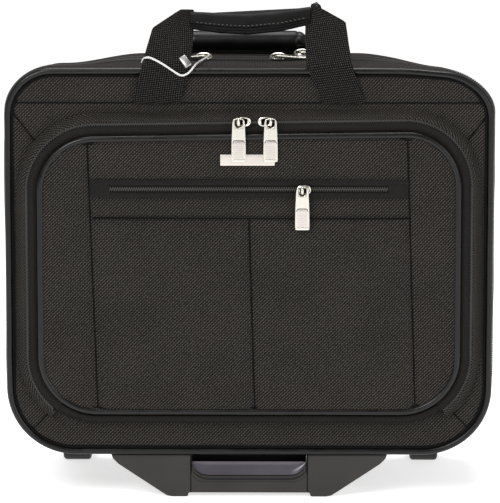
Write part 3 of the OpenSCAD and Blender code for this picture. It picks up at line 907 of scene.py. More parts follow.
def build_piping():
    for name, outline, y, body, node in (
        ("front_piping_cord", case_outline(PIPE_R), BOARD_Y + 1, "front_section", "front_piping"),
        ("rear_piping_cord", case_outline(PIPE_R), BACK_Y - 2, "case_body", "rear_piping"),
        ("pocket_piping_cord", pocket_outline(PIPE_R), PANEL_Y + 3, "pocket_flap", "pocket_piping"),
    ):
        profile = circle_profile(0, y, PIPE_R, 14)
        sag = pocket_sag if node == "pocket_piping" else droop
        piece = sweep(name, outline, profile, piping_vinyl, None, 3.0, 0.25, sag=sag)
        if body == "case_body":
            cut_space(piece, corner_boxes())
        attach(piece, body, "piping", node)
        # Near-black rings beside each cord are painted shade in the grooves between the piping and the cloth.
        into = -1 if node == "rear_piping" else 1
        for tag, out_at, y_at in (("front_groove", -3.9, y - 0.7 * into),
                                  ("back_groove", -0.1, y + 3.7 * into)):
            if node == "pocket_piping" and tag == "back_groove":
                continue
            ring = sweep(name.replace("cord", tag), outline, circle_profile(out_at, y_at, 1.25, 8),
                         shade_line_black, None, 4.0,
                         sag=sag)
            if body == "case_body":
                cut_space(ring, corner_boxes())
            attach(ring, body, "case_fabric")


build_front_panel()
build_gussets()
build_piping()


# ---- pocket flap ----------------------------------------------------------------------------
POCKET_SEAMS = [
    ((-138, 315), (-130, 80)),
    ((135, 315), (143, 80)),
    ((0, 247.5), (5, 80)),
    ((-134, 247.5), (138, 247.5)),
    ((-135, 265), (137, 265)),
    ((-135, 280.5), (137, 280.5)),
]
ZIP_BAND = (265.0, 280.5)
ZIP_WINDOW_X = 119.0


def build_pocket_panel():
    edge = pocket_outline(4.4)

    def depth(x, z):
        inside = max(edge_distance(edge, x, z), 0)
        crown = 1 - math.exp(-inside / 5.0)
        left = -138 + 8 * (318 - z) / 242
        right = left + 273
        d = min(abs(x - left), abs(x - right))
        lower = z < 247.5 and left < x < right
        if lower:
            d = min(d, abs(x - 2.5), 247.5 - z)
        puff = 3.4 * (1 - math.exp(-d / 16.0)) if lower else 1.4 * (1 - math.exp(-d / 10.0))
        if z > 247.5 and left < x < right:
            puff = 0.0
        soft = 0.8 * noise.noise(Vector((x * 0.016, z * 0.02, 9.0)))
        pucker = 0.35 * math.exp(-d / 7.0) * noise.noise(Vector((x * 0.05, z * 0.16, 1.0)))
        if z > 247.5:
            soft *= 0.2
        sink = 1.1 * seam_depth(x, z, POCKET_SEAMS, 2.4)
        return PANEL_Y + 1.6 - 1.3 * crown - (puff + soft + pucker) * crown + sink

    points, uv = row_grid(edge, 2.0, depth)
    points = [[(x, y, z - pocket_sag(x, y, z)) for x, y, z in row] for row in points]
    panel = grid("pocket_panel_cloth", points, uv, panel_nylon, 60)
    attach(panel, "pocket_flap", "case_fabric")
    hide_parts("pocket_panel")
    seam_shade_lines("pocket_panel_seam_shade", POCKET_SEAMS[:4], "pocket_flap", depth)
    back, back_uv = row_grid(pocket_outline(2.5), 8.0, lambda x, z: PANEL_Y + 4.5)
    back = [[(x, y, z - pocket_sag(x, y, z)) for x, y, z in row] for row in back]
    lining = grid("pocket_flap_lining", back, back_uv, lining_cloth)
    attach(lining, "pocket_flap", "lining_fabric")


def build_pocket_rim():
    flap_y = mm_box("pocket_gusset")[0][1]
    zip_span = pocket_outline().span(ZIP_END_Z)
    inner = [(-2.0, PANEL_Y + 5.6), (0.6, PANEL_Y + 5.2), (2.2, PANEL_Y + 4.2), (4.6, PANEL_Y + 4.0),
             (6.8, flap_y - 0.9), (8.4, flap_y + 0.1), (8.4, flap_y + 2.6), (-4.0, flap_y + 2.6)]
    strip = sweep("pocket_gusset_cloth", pocket_outline(), inner, trim_nylon, zip_span, 3.0, 0.3,
                  sag=pocket_sag)
    below = (-(pocket_outline().total - zip_span[1]), zip_span[0])
    lower = [(-2.0, PANEL_Y + 5.6), (0.4, PANEL_Y + 5.2), (0.2, flap_y + 2.4), (-4.0, flap_y + 2.6)]
    hem = sweep("pocket_gusset_lower_cloth", pocket_outline(), lower, trim_nylon, below, 3.0, 0.2,
                sag=pocket_sag)
    for piece in (strip, hem):
        attach(piece, "pocket_flap", "case_fabric")
    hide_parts("pocket_gusset")
    outer = [(9.8, flap_y + 0.1), (11.6, flap_y + 0.0), (13.8, flap_y + 1.4), (16.0, BOARD_Y - 2.4),
             (18.0, BOARD_Y - 0.2), (16.4, BOARD_Y + 1.4), (9.8, BOARD_Y + 1.4)]
    rim = sweep("pocket_rim_cloth", pocket_outline(), outer, yoke_nylon, zip_span, 3.0, 0.3,
                sag=pocket_sag)
    attach(rim, "front_section", "zipper_tape", "pocket_zipper_tape")
    fold = [(0.6, flap_y + 1.4), (1.8, flap_y - 0.4), (4.0, flap_y - 0.8), (6.4, flap_y + 0.4),
            (8.4, flap_y + 3.2),
            (9.4, BOARD_Y - 0.4), (8.0, BOARD_Y + 1.4), (-6.0, BOARD_Y + 1.4), (-6.0, flap_y + 3.2)]
    hinge_cloth = sweep("pocket_hinge_cloth", pocket_outline(), fold, trim_nylon, below, 3.0, 0.2,
                        sag=pocket_sag)
    attach(hinge_cloth, "front_section", "case_fabric")


def chain(name, outline, span, out, y, in_plane, body, shift, size=(0.85, 2.3, 1.3), pitch=2.0):
    """One half of a zip's teeth, beside the line at the given offset from an outline."""
    frames = []
    s0, s1 = span or (0.0, outline.total)
    count = int((s1 - s0) / pitch)
    for i in range(count):
        s = s0 + (i + (0.5 if shift > 0 else 0.0)) * pitch
        (x, z), (nx, nz) = outline.at(s)
        along = (-nz, 0.0, nx)
        normal = (nx, 0.0, nz)
        if in_plane:
            off = out + shift * size[1] * 0.3
            height = z + nz * off
            frames.append(((x + nx * off, y, height - pocket_sag(x, y, height)), along, normal,
                           (0, -1, 0)))
        else:
            bulge = side_bulge(nx, y) + out
            top = z + nz * bulge
            centre = (x + nx * bulge, y + shift * 0.7, top - droop(x, y, top))
            frames.append((centre, along, (0, 1, 0), normal))
    piece = boxes(name, frames, size, tooth_plastic)
    attach(piece, body, "zipper_tape")
    return piece


def tape_strip(name, span, y0, y1, out, body, node):
    profile = [(out, y0), (out + 0.2, (y0 + y1) / 2), (out, y1), (out - 1.2, y1), (out - 1.2, y0)]
    piece = sweep(name, case_outline(), profile, zip_tape, span, 4.0, 0.0, side_bulge)
    attach(piece, body, "zipper_tape", node)
    return piece


def build_zips():
    pocket = pocket_outline()
    pocket_span = pocket.span(ZIP_END_Z + 1)
    tooth_y = mm_box("pocket_gusset")[0][1] - 0.3
    small = (0.9, 1.5, 1.0)
    chain("pocket_teeth_inner", pocket, pocket_span, ZIP_OUT, tooth_y, True, "pocket_flap", -1, small)
    chain("pocket_teeth_outer", pocket, pocket_span, ZIP_OUT, tooth_y, True, "front_section", 1, small)
    case = case_outline()
    span = case.span(LID_Z + 0.5)
    chain("main_teeth_front", case, span, 0.4, MAIN_ZIP_Y, False, "front_section", -1)
    chain("main_teeth_rear", case, span, 0.4, MAIN_ZIP_Y, False, "case_body", 1)
    chain("rear_teeth_front", case, span, -0.7, REAR_ZIP_Y, False, "case_body", -1)
    chain("rear_teeth_rear", case, span, -0.7, REAR_ZIP_Y, False, "case_body", 1)
    lid = case.span(LID_Z)
    tape_strip("main_tape_front", lid, LID_BACK_Y + 0.1, MAIN_ZIP_Y - 0.3, -1.3, "front_section",
               "main_zipper_tape_front")
    tape_strip("main_tape_rear", lid, MAIN_ZIP_Y + 0.3, MID_Y[0] - 0.1, -1.3, "case_body",
               "main_zipper_tape_rear")
    tape_strip("rear_tape", lid, MID_Y[1] + 0.1, REAR_Y[0], -1.3, "case_body", "rear_zipper_tape")


def build_small_zip():
    """The small pocket's zip: a lipped window in the panel with the chain along it."""
    z_mid = (ZIP_BAND[0] + ZIP_BAND[1]) / 2
    y = PANEL_Y
    bands = []
    for low, high in ((ZIP_BAND[0], z_mid - 3.2), (z_mid + 3.2, ZIP_BAND[1])):
        rows = []
        uv = []
        for k in range(7):
            t = k / 6
            z = low + (high - low) * t
            lift = 1.1 * math.sin(math.pi * (0.15 + 0.75 * t if low < z_mid - 5 else 0.9 - 0.75 * t))
            cols = 90
            rows.append([(-136 + 272 * c / cols,
                          y - 0.3 - lift + 0.12 * noise.noise(Vector((c * 0.3, z, 0))), z)
                         for c in range(cols + 1)])
            uv.append([(-136 + 272 * c / cols, z) for c in range(cols + 1)])
        bands.append(grid("lip", rows, uv, trim_nylon))
    tape_rows, tape_uv = [], []
    for k in range(5):
        z = z_mid - 4 + 8 * k / 4
        tape_rows.append([(-ZIP_WINDOW_X + 2 * ZIP_WINDOW_X * c / 60, y - 0.35, z) for c in range(61)])
        tape_uv.append([(-ZIP_WINDOW_X + 2 * ZIP_WINDOW_X * c / 60, z) for c in range(61)])
    bands.append(grid("tape", tape_rows, tape_uv, zip_tape))
    for side in (-1, 1):
        rows, uv = [], []
        for k in range(9):
            z = ZIP_BAND[0] + (ZIP_BAND[1] - ZIP_BAND[0]) * k / 8
            lift = 1.2 * math.sin(math.pi * k / 8) ** 0.5
            xs = [side * (ZIP_WINDOW_X + 17 * c / 10) for c in range(11)]
            rows.append([(x, y - 0.35 - lift * (1 if c < 9 else 0.3), z) for c, x in enumerate(xs)])
            uv.append([(x, z) for x in xs])
        bands.append(grid("end", rows, uv, trim_nylon))
    panel = join("small_zip_panel", bands)
    attach(panel, "pocket_flap", "zipper_tape", "small_zipper_tape")
    frames = []
    count = int(2 * ZIP_WINDOW_X)
    for i in range(count):
        x = -ZIP_WINDOW_X + i
        frames.append(((x, y - 0.6, z_mid + (0.7 if i % 2 else -0.7)), (1, 0, 0), (0, 0, 1), (0, -1, 0)))
    teeth = boxes("small_zip_teeth", frames, (0.8, 2.3, 1.0), tooth_plastic)
    attach(teeth, "pocket_flap", "zipper_tape")


def build_nameplate():
    low, high = mm_box("nameplate")
    hx, hz = (high[0] - low[0]) / 2, (high[2] - low[2]) / 2
    piece = join("nameplate_blank", [
        plate("a", [rounded(hx, hz, 0.7)], 0.9, 0.25, plate_metal),
        place(plate("b", [rounded(hx - 1.1, hz - 1.1, 0.5)], 0.4, 0.15, plate_metal),
              Matrix.Translation((0, 0, 0.5 * MM))),
    ])
    centre = Vector(((low[0] + high[0]) / 2, low[1] - 0.05, (low[2] + high[2]) / 2))
    turn = Matrix.Translation(centre * MM)
    place(piece, turn @ Matrix.Rotation(math.radians(90), 4, "X"))
    attach(piece, "pocket_flap", "bright_metal", "nameplate")


build_pocket_panel()
build_pocket_rim()
build_zips()
build_small_zip()
build_nameplate()


# ---- zip sliders and pull tabs --------------------------------------------------------------
def tab_outline(length, grow=0.0):
    """Half widths down a pull tab: round at the top, fullest at the middle."""
    pts = []
    steps = 26
    for i in range(steps + 1):
        t = i / steps
        z = 4.2 - t * length
        if t < 0.12:
            w = 5.3 * math.sqrt(max(1 - ((0.12 - t) / 0.12) ** 2, 0))
        else:
            w = 5.3 + 0.85 * math.sin((t - 0.12) / 0.88 * math.pi * 0.62)
        pts.append((w + grow, z))
    left = [(-w, z) for w, z in pts]
    right = [(w, z) for w, z in reversed(pts)]
    return [p for p in left + right if abs(p[0]) > 0.05]


def build_pull(name, node, body, hinge, turn, slot="bright_metal"):
    """A pull tab whose hinge is at the local origin; it hangs towards -y and faces +z."""
    length = 38.2
    hole = [(3.5 * math.cos(a), -0.9 + 4.1 * math.sin(a)) for a in np.linspace(0, 2 * math.pi, 22)[:-1]]
    pad = [(x * 0.78, y) for x, y in rounded(6.2, 8.0, 1.6, 5, 0, -25.0)]
    pad = [(x, y + (1.9 * (1 - (x / 4.9) ** 2) if y > -24 else 0)) for x, y in pad]
    parts = [
        plate("body", [tab_outline(length), hole], 1.9, 0.55, bright_metal, 3),
        place(plate("pad", [pad], 0.9, 0.25, plate_metal), Matrix.Translation((0, 0, 0.9 * MM))),
        # A near-black line along the pad's raised upper edge: painted shade of the step.
        tube("step", [(x, y + 0.35, 1.0) for x, y in pad if y > -19.5], 0.28, shade_line_black, 6),
        place(plate("lip", [rounded(5.6, 1.3, 0.8, 4, 0, 5.4 - length)], 2.7, 0.5, bright_metal),
              Matrix.Translation((0, 0, 0.3 * MM))),
    ]
    frames = []
    for r in range(7):
        for c in range(5):
            frames.append((((c - 2) * 1.5 + (0.75 if r % 2 else 0) - 0.4, -30.5 + r * 1.6, 1.25),
                           (0.7, 0.7, 0), (-0.7, 0.7, 0), (0, 0, 1)))
    parts.append(boxes("grip", frames, (0.9, 0.9, 0.5), clip_metal, 0.4))
    piece = join(name, parts)
    place(piece, Matrix.Translation(Vector(hinge) * MM) @ turn)
    attach(piece, body, slot, node)
    return piece


def build_slider(name, node, body, base, turn, base_t, offset=0.0, size=(6.4, 4.7, 3.4, 5.9)):
    """A slider on the face z = 0, its arch along local y.

    size holds the head's half sizes in x and y, and the arch's half length and height.
    """
    hx, hy, arch_half, arch_high = size
    head = [(hx * math.cos(a) + offset, hy * math.sin(a) * (1 + 0.12 * math.cos(2 * a))) for a in
            np.linspace(0, 2 * math.pi, 28)[:-1]]
    wing = [(x * 0.9 + offset * 0.1, y * 0.94) for x, y in head]
    parts = [
        place(plate("wing", [wing], 1.5, 0.4, bright_metal), Matrix.Translation((0, 0, 0.75 * MM))),
        place(plate("head", [head], 1.7, 0.6, bright_metal),
              Matrix.Translation((0, 0, (base_t - 0.85) * MM))),
        place(plate("neck", [rounded(hx * 0.55, hy * 0.6, 1.2, 4, offset)], base_t, 0.2, bright_metal),
              Matrix.Translation((0, 0, base_t / 2 * MM))),
    ]
    rim = [(x * 0.86 + offset * 0.14, y * 0.82, base_t) for x, y in head]
    parts.append(tube("rim", rim + rim[:2], 0.75, bright_metal, 8, False, 1.0))
    arc = []
    for i in range(17):
        a = math.pi * i / 16
        arc.append((0.0, -arch_half * math.cos(a), base_t - 0.6 + arch_high * math.sin(a) ** 0.7))
    parts.append(tube("arch", arc, 0.95, bright_metal, 10, True, 1.25, (1, 0, 0)))
    piece = join(name, parts)
    place(piece, Matrix.Translation(Vector(base) * MM) @ turn)
    attach(piece, body, "bright_metal", node)
    return piece


JOINTS = {j["name"]: j for j in frame["joints"]}
FACE_FRONT = Matrix.Rotation(math.radians(90), 4, "X")


def face_top(side, droop=0.0):
    """Local -y runs to the given side along x, and local +z looks up."""
    return Matrix.Rotation(math.radians(90 * side), 4, "Z") @ Matrix.Rotation(math.radians(droop), 4, "X")


def middle(node):
    low, high = mm_box(node)
    return [(a + b) / 2 for a, b in zip(low, high)]


def build_fasteners():
    for which, offset in (("left", 4.2), ("right", -4.6)):
        x, _, z = middle(f"front_slider_{which}")
        base_y = mm_box(f"front_slider_{which}")[1][1]
        build_slider(f"front_slider_{which}_metal", f"front_slider_{which}", f"front_slider_{which}",
                     (x, base_y, z),
                     FACE_FRONT, 4.5, offset)
        hinge = [c / MM for c in JOINTS[f"front_pull_{which}_swing"]["pos_m"]]
        build_pull(f"front_pull_{which}_metal", f"front_pull_{which}", f"front_pull_{which}", hinge,
                   FACE_FRONT)
    x, _, z = middle("small_slider")
    build_slider("small_slider_metal", "small_slider", "small_slider",
                 (x, mm_box("small_slider")[1][1], z), FACE_FRONT, 3,
                 1.2)
    hinge = [c / MM for c in JOINTS["small_pull_swing"]["pos_m"]]
    build_pull("small_pull_metal", "small_pull", "small_pull", hinge, FACE_FRONT)
    for which, side in (("main_slider_left", -1), ("main_slider_right", 1), ("rear_slider", 1)):
        x, y, _ = middle(which)
        base_z = mm_box(which)[0][2]
        pull = which.replace("slider", "pull")
        build_slider(f"{which}_metal", which, which, (x, y, base_z - 0.8), face_top(side), 2.2, 0.0,
                     (4.4, 7.4, 6.8, 4.2))
        hinge = [c / MM for c in JOINTS[f"{pull}_swing"]["pos_m"]]
        hinge[2] -= 2.6
        build_pull(f"{pull}_metal", pull, pull, hinge, face_top(side, 4))


build_fasteners()


# ---- front carry handle ---------------------------------------------------------------------
STRAP_Y = -80.0
BEND_Z = 377.0
LEAN = math.radians(29)
STRAP_T = 2.2


def lean_point(x, up, out=0.0):
    """A point on the leaning part of the handle: up along it, out towards the front."""
    return (x, STRAP_Y + up * math.sin(LEAN) - out * math.cos(LEAN),
            BEND_Z + up * math.cos(LEAN) + out * math.sin(LEAN))


def strap_edges(keys, h):
    """Left and right edge of a strap at height h along it, through the key stations."""
    hs = [k[0] for k in keys]
    return np.interp(h, hs, [k[1] for k in keys]), np.interp(h, hs, [k[2] for k in keys])


def build_strap(name, keys, node):
    """A webbing strap from its sewn foot up to its folded top, as a thick sheet."""
    top = keys[-1][0]
    foot = keys[0][0]
    rows_n, cols = int((top - foot) / 2.0), 14
    front, uv = [], []
    for r in range(rows_n + 1):
        h = foot + (top - foot) * r / rows_n
        x0, x1 = strap_edges(keys, h)
        row, row_uv = [], []
        for c in range(cols + 1):
            t = c / cols
            x = x0 + (x1 - x0) * t
            cup = 0.4 * math.sin(math.pi * t) + 0.4 * noise.noise(Vector((x * 0.05, h * 0.05, 2.0)))
            up = h - (BEND_Z - STRAP_PIVOT_Z)
            if up <= -6:
                p = (x, STRAP_Y - cup, STRAP_PIVOT_Z + h)
            elif up >= 6:
                p = lean_point(x, up, cup)
            else:
                k = (up + 6) / 12
                k = k * k * (3 - 2 * k)
                a = (x, STRAP_Y - cup, STRAP_PIVOT_Z + h)
                b = lean_point(x, up, cup)
                p = tuple(a[i] * (1 - k) + b[i] * k for i in range(3))
            if h < 0:
                sink = min(-h / 8, 1.0)
                p = (p[0], p[1] + 1.6 * sink, p[2])
            row.append(p)
            row_uv.append((t * 40, h))
        front.append(row)
        uv.append(row_uv)
    piece = grid(name, front, uv, webbing_mat, 60)
    thicken(piece, STRAP_T)
    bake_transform(piece)
    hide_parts(node)
    return piece


GRIP_X = (-50.0, 52.0)
GRIP_STATIONS = (0.0, 0.25, 0.47, 0.75, 1.0)
GRIP_TOP = (49.6, 48.4, 47.9, 50.4, 54.2)
GRIP_BOTTOM = (34.4, 30.6, 29.2, 32.2, 38.6)
# Half the leather's thickness down the grip, from its top edge at 0 to its lower edge at 1.
GRIP_PROFILE = (
    (0.0, 0.0), (0.02, 2.6), (0.09, 4.5), (0.2, 5.4), (0.36, 5.6), (0.5, 5.1), (0.62, 4.3), (0.7, 3.9),
    (0.735, 3.4),
    (0.755, 2.4), (0.775, 2.4), (0.79, 3.2), (0.84, 3.3), (0.865, 2.9), (0.88, 1.9), (0.9, 1.9),
    (0.915, 2.6),
    (0.96, 2.5), (0.99, 1.6), (1.0, 0.0),
)


def grip_line(x):
    """Heights of the front grip's upper and lower edge above the bend."""
    t = (x - GRIP_X[0]) / (GRIP_X[1] - GRIP_X[0])
    return float(np.interp(t, GRIP_STATIONS, GRIP_TOP)), float(np.interp(t, GRIP_STATIONS, GRIP_BOTTOM))


def build_strap_knob():
    """The folded end of the grip's core, standing up behind the right strap's peak."""
    path = [lean_point(53.2, 44, -3.5), lean_point(54.3, 53, -3.5), lean_point(55.3, 57.2, -3.2),
            lean_point(57.0, 58.2, -3.2), lean_point(58.8, 56.2, -3.4), lean_point(60.2, 51, -3.6),
            lean_point(62.6, 42, -4)]
    knob = tube("front_grip_end_loop", path, 2.7, tube_leather, 12, True, 1.2, (0, -1, 0))
    attach(knob, "carry_handle_front", "leather")


def build_front_grip():
    """A leather wrap with a round back, its two lower edges stitched together below."""
    rows, uv = [], []
    steps = 56
    ring = [(t, h) for t, h in GRIP_PROFILE] + [(t, -0.8 * h) for t, h in reversed(GRIP_PROFILE[1:])]
    for i in range(steps + 1):
        x = GRIP_X[0] + (GRIP_X[1] - GRIP_X[0]) * i / steps
        top, bottom = grip_line(x)
        row = []
        for k, (t, h) in enumerate(ring):
            wrinkle = 0.3 * noise.noise(Vector((x * 0.1, k * 0.35, 4.0)))
            row.append(lean_point(x, top + (bottom - top) * t, h + wrinkle))
        rows.append(row)
        uv.append([(x, k * 2.0) for k in range(len(ring))])
    grip = grid("front_grip_leather", rows, uv, grip_leather, 50)
    close_ends(grip)
    attach(grip, "carry_handle_front", "leather")
    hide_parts("front_grip")
    frames = []
    count = 26
    for i in range(count):
        x = GRIP_X[0] + 4 + (GRIP_X[1] - GRIP_X[0] - 8) * (i + 0.5) / count
        top, bottom = grip_line(x)
        centre = lean_point(x, top + (bottom - top) * 0.67, 4.1)
        frames.append((centre, (1, 0, 0), (0, math.sin(LEAN), math.cos(LEAN)),
                       (0, -math.cos(LEAN), math.sin(LEAN))))
    stitches = boxes("front_grip_stitches", frames, (2.3, 0.7, 0.7), stitch_thread, 0.6)
    attach(stitches, "carry_handle_front", "leather")


def build_front_handle():
    build_strap_knob()
    rise = BEND_Z - STRAP_PIVOT_Z
    left = [(-5.5, -99, -58), (0, -98.5, -57.5), (rise - 2, -91.5, -50.5), (rise + 15, -87.8, -48.5),
            (rise + 35, -82.6, -47.3), (rise + 50.5, -61, -47), (rise + 52, -58.5, -48)]
    right = [(-5.5, 61.5, 97.6), (0, 60.6, 97), (rise, 48.8, 88), (rise + 20, 47.6, 85),
             (rise + 40.6, 48, 82.4),
             (rise + 51.5, 51.5, 64.3), (rise + 54, 54, 59.3)]
    build_strap("front_strap_left_web", left, "front_strap_left")
    strap = build_strap("front_strap_right_web", right, "front_strap_right")
    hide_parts("front_strap_anchors")
    build_front_grip()


def close_ends(obj):
    bm = bmesh.new()
    bm.from_mesh(obj.data)
    bmesh.ops.holes_fill(bm, edges=[e for e in bm.edges if e.is_boundary], sides=0)
    bmesh.ops.recalc_face_normals(bm, faces=bm.faces)
    bm.to_mesh(obj.data)
    bm.free()
    obj.data.set_sharp_from_angle(angle=math.radians(60))


REAR_TUBE = (-53.0, 42.5)
REAR_FOOT_X = 87.0


def build_strap_fold(side, end_x, cy, cz):
    """The webbing gathered where it leaves the rear handle's tube."""
    rows, uv = [], []
    stations = ((-2.0, 7.6, 7.0, 0.0), (0.2, 8.4, 8.2, 0.0), (3.2, 8.0, 8.8, -0.3), (5.6, 6.8, 9.2, -1.5),
                (9.0, 5.2, 9.4, -3.2), (13.0, 3.4, 9.6, -5.0), (18.0, 1.4, 9.2, -6.6))
    for out, half_z, half_y, drop in stations:
        row, row_uv = [], []
        for k in range(25):
            a = 2 * math.pi * k / 24
            crease = (1 + 0.07 * math.sin(3 * a + 0.35 * out)
                      + 0.05 * noise.noise(Vector((out * 0.3, a * 2.0, side))))
            row.append((end_x + side * out, cy + half_y * crease * math.cos(a),
                        cz + drop + half_z * crease * math.sin(a)))
            row_uv.append((out, a * 8))
        rows.append(row)
        uv.append(row_uv)
    fold = grid(f"rear_strap_fold_{'left' if side < 0 else 'right'}", rows, uv, tube_leather, 60)
    close_ends(fold)
    attach(fold, "carry_handle_rear", "webbing")


def build_rear_handle():
    low, high = mm_box("rear_grip")
    cy, cz = (low[1] + high[1]) / 2, (low[2] + high[2]) / 2
    r = (high[2] - low[2]) / 2
    rows, uv = [], []
    steps, sides = 44, 30
    for i in range(steps + 1):
        t = i / steps
        x = REAR_TUBE[0] + (REAR_TUBE[1] - REAR_TUBE[0]) * t
        end = min(t, 1 - t) * (REAR_TUBE[1] - REAR_TUBE[0])
        rr = r * (0.9 + 0.1 * min(end / 3.0, 1.0) ** 0.5) if end > 0 else r * 0.86
        row, row_uv = [], []
        for k in range(sides + 1):
            a = 2 * math.pi * k / sides
            ridge = 0.35 * math.exp(-(((a - 4.2) / 0.12) ** 2))
            wob = 0.22 * noise.noise(Vector((x * 0.07, math.cos(a), math.sin(a))))
            row.append((x, cy + (rr + ridge + wob) * math.cos(a), cz + (rr + ridge + wob) * math.sin(a)))
            row_uv.append((x, a * r))
        rows.append(row)
        uv.append(row_uv)
    grip = grid("rear_grip_leather", rows, uv, tube_leather, 70)
    close_ends(grip)
    attach(grip, "carry_handle_rear", "leather")
    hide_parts("rear_grip")
    anchor_high = mm_box("rear_strap_anchors")[1]
    first = None
    for side, end_x in ((-1, REAR_TUBE[0]), (1, REAR_TUBE[1])):
        foot_x = side * REAR_FOOT_X
        build_strap_fold(side, end_x, cy, cz)
        rows, uv = [], []
        steps = 40
        for i in range(steps + 1):
            t = i / steps
            x = foot_x + (end_x - side * 2 - foot_x) * t
            rise = max(0.0, (t - 0.27) / 0.73)
            foot_z = anchor_high[2] + 0.9 - droop(x, cy, CASE_HIGH)
            z = foot_z + (cz - foot_z) * (rise**1.3) + 0.6 * math.sin(rise * math.pi)
            half = 10.0 - 2.2 * rise
            curl = 5.2 * rise**3
            cols = 10
            row = []
            for c in range(cols + 1):
                u = 2 * c / cols - 1
                row.append((x, cy + half * u, z - curl * u * u))
            rows.append(row)
            uv.append([(c * 2.0, x) for c in range(cols + 1)])
        strap = grid(f"rear_strap_{'left' if side < 0 else 'right'}_web", rows, uv, webbing_mat, 60)
        thicken(strap, 1.6)
        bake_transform(strap)
        first = first or strap
    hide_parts("rear_straps", "rear_strap_anchors")


build_front_handle()
build_rear_handle()


# ---- hard parts carried over from the CAD ---------------------------------------------------
def build_hard_parts():
    for node, material, width, slot, body in (
        ("front_foot", foot_plastic, 1.6, "moulded_plastic", "case_body"),
        ("wheel_housing_left", foot_plastic, 1.2, "moulded_plastic", "case_body"),
        ("wheel_housing_right", foot_plastic, 1.2, "moulded_plastic", "case_body"),
        ("trolley_bezel", foot_plastic, 0.8, "moulded_plastic", "case_body"),
        ("trolley_bracket", black_plastic_and_shade, 1.5, "moulded_plastic", "case_body"),
        ("trolley_grip", black_plastic_and_shade, 2.2, "moulded_plastic", "trolley_inner"),
        ("release_button", foot_plastic, 0.8, "moulded_plastic", "trolley_release"),
        ("middle_collars", black_plastic_and_shade, 0.5, "moulded_plastic", "trolley_middle"),
        # The grip scoop is black as painted shade in the foot's recess.
        ("grip_scoop", black_plastic_and_shade, 0.6, "moulded_plastic", "case_body"),
        ("wheel_hub_left", black_plastic_and_shade, 0.5, "moulded_plastic", "wheel_left"),
        ("wheel_hub_right", black_plastic_and_shade, 0.5, "moulded_plastic", "wheel_right"),
    ):
        piece = softened(node, f"{node}_moulding", material, width, slot, body)
        if node == "trolley_bezel":
            settle(piece)
    for node, material in (
        ("trolley_outer_tubes", tube_metal), ("middle_tubes", tube_metal), ("inner_tubes", tube_metal),
        ("push_rods", steel), ("wheel_axles", steel), ("wheel_tyre_left", tyre_rubber),
        ("wheel_tyre_right", tyre_rubber),
    ):
        dress(node, material)


def build_inner_panel(node, body, radii, edge=1.6):
    """A padded board of the inside: two cloth faces that meet in a rounded edge."""
    low, high = mm_box(node)
    outline = Outline(high[0], low[2], high[2], *radii)
    middle_y, half = (low[1] + high[1]) / 2, (high[1] - low[1]) / 2
    sides = []
    for side in (-1, 1):
        def depth(x, z):
            inside = max(edge_distance(outline, x, z), 0.0)
            soft = 0.25 * noise.noise(Vector((x * 0.02, z * 0.02, 5.0 + side)))
            return middle_y + side * (half + min(soft, 0.0)) * (1 - math.exp(-inside / edge))

        points, uv = row_grid(outline, 6.0, depth)
        points = [[(x, y, z - droop(x, y, z)) for x, y, z in row] for row in points]
        sides.append(grid("face", points, uv, lining_cloth, 60))
    panel = join(f"{node}_cloth", sides)
    finish_mesh(panel, 60)
    attach(panel, body, "lining_fabric")
    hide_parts(node)


def build_inside():
    build_inner_panel("compartment_wall", "case_body", (BOTTOM_R - 4, TOP_R - 4))
    build_inner_panel("lining_board", "case_body", (8, 14), 0.5)
    build_inner_panel("organiser_panel", "front_section", (6, 6), 0.7)
    build_inner_panel("file_divider", "file_divider", (6, 18), 0.5)


def build_back():
    edge = case_outline(4.6)

    def depth(x, z):
        inside = max(edge_distance(edge, x, z), 0)
        crown = 2.0 * (1 - math.exp(-inside / 7.0))
        ripple = 0.5 * noise.noise(Vector((x * 0.014, z * 0.014, 6.0))) * min(inside / 15, 1)
        return BACK_Y - 1.2 + crown + ripple

    points, uv = row_grid(edge, 3.0, depth)
    points = [[(x, y, z - droop(x, y, z)) for x, y, z in row] for row in points]
    panel = grid("back_panel_cloth", points, uv, gusset_nylon, 60)
    cut_space(panel, corner_boxes())
    attach(panel, "case_body", "case_fabric")
    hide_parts("back_board")


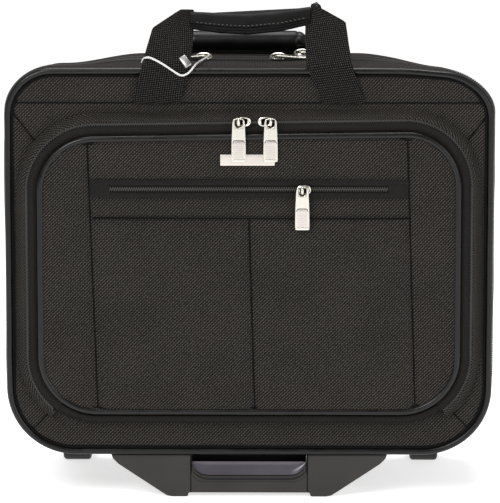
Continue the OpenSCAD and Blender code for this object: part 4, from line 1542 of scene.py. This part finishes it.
LENS_FLAT = 34.0
LENS_END = 49.7
LENS_LOW, LENS_HIGH = 19.4, 30.0


def lens_edge(x, drop=0.0):
    """Height of the glossy lip's curved lower edge, or of a line that much below it."""
    t = min(max(abs(x) - LENS_FLAT, 0.0) / (LENS_END - LENS_FLAT), 1.0)
    return LENS_LOW - drop + (LENS_HIGH - LENS_LOW) * (1 - math.sqrt(1 - t * t))


def foot_strip(low, high, y_low, y_high, material, rows=7, hollow=0.0):
    """A face of the foot between two lines that run from side to side."""
    xs = np.linspace(-LENS_END, LENS_END, 90)
    points = []
    for r in range(rows):
        t = r / (rows - 1)
        y = y_low + (y_high - y_low) * t + hollow * math.sin(math.pi * t)
        points.append([(x, y, low(x) + (high(x) - low(x)) * t) for x in xs])
    uv = [[(x, 0.0) for x in xs] for _ in range(rows)]
    return grid("strip", points, uv, material, 60)


def build_foot_face():
    """What shows in the foot's recess: a glossy lip with a curved lower edge, its violet-grey a painted
    reflection of the shaded floor; a black strip of painted groove shade; a bead; and near-black lines of
    painted shade down the recess's sides.
    """
    y = mm_box("front_foot")[0][1]
    top = lambda x: LENS_HIGH + 0.4
    lens = foot_strip(lens_edge, top, y + 0.9, y + 4.6, painted_reflection_plastic, 12, 1.1)
    lens.name = "foot_lip"
    attach(lens, "case_body", "gloss_plastic")
    # A black strip under the lip: painted shade of the groove.
    groove = foot_strip(lambda x: lens_edge(x, 4.8), lambda x: lens_edge(x, -0.3), y + 1.4, y + 1.6,
                        black_plastic_and_shade, 3)
    below = foot_strip(lambda x: 13.2, lambda x: max(lens_edge(x, 4.6), 14.4), y + 0.9, y + 1.0,
                       foot_plastic, 6)
    xs = np.linspace(-LENS_END + 0.2, LENS_END - 0.2, 70)
    bead = tube("bead", [(x, y + 1.1, lens_edge(x, 1.9)) for x in xs], 0.85, foot_plastic, 8)
    # Near-black lines down the recess's sides: painted shade in its corners.
    seams = [tube("seam", [(side * 50.6, y - 0.05, z) for z in np.linspace(3.9, 37.5, 12)], 0.42,
                  shade_line_black, 6)
             for side in (-1, 1)]
    face = join("foot_recess_face", [groove, below, bead, *seams])
    attach(face, "case_body", "moulded_plastic")


build_hard_parts()
build_inside()
build_foot_face()
build_back()
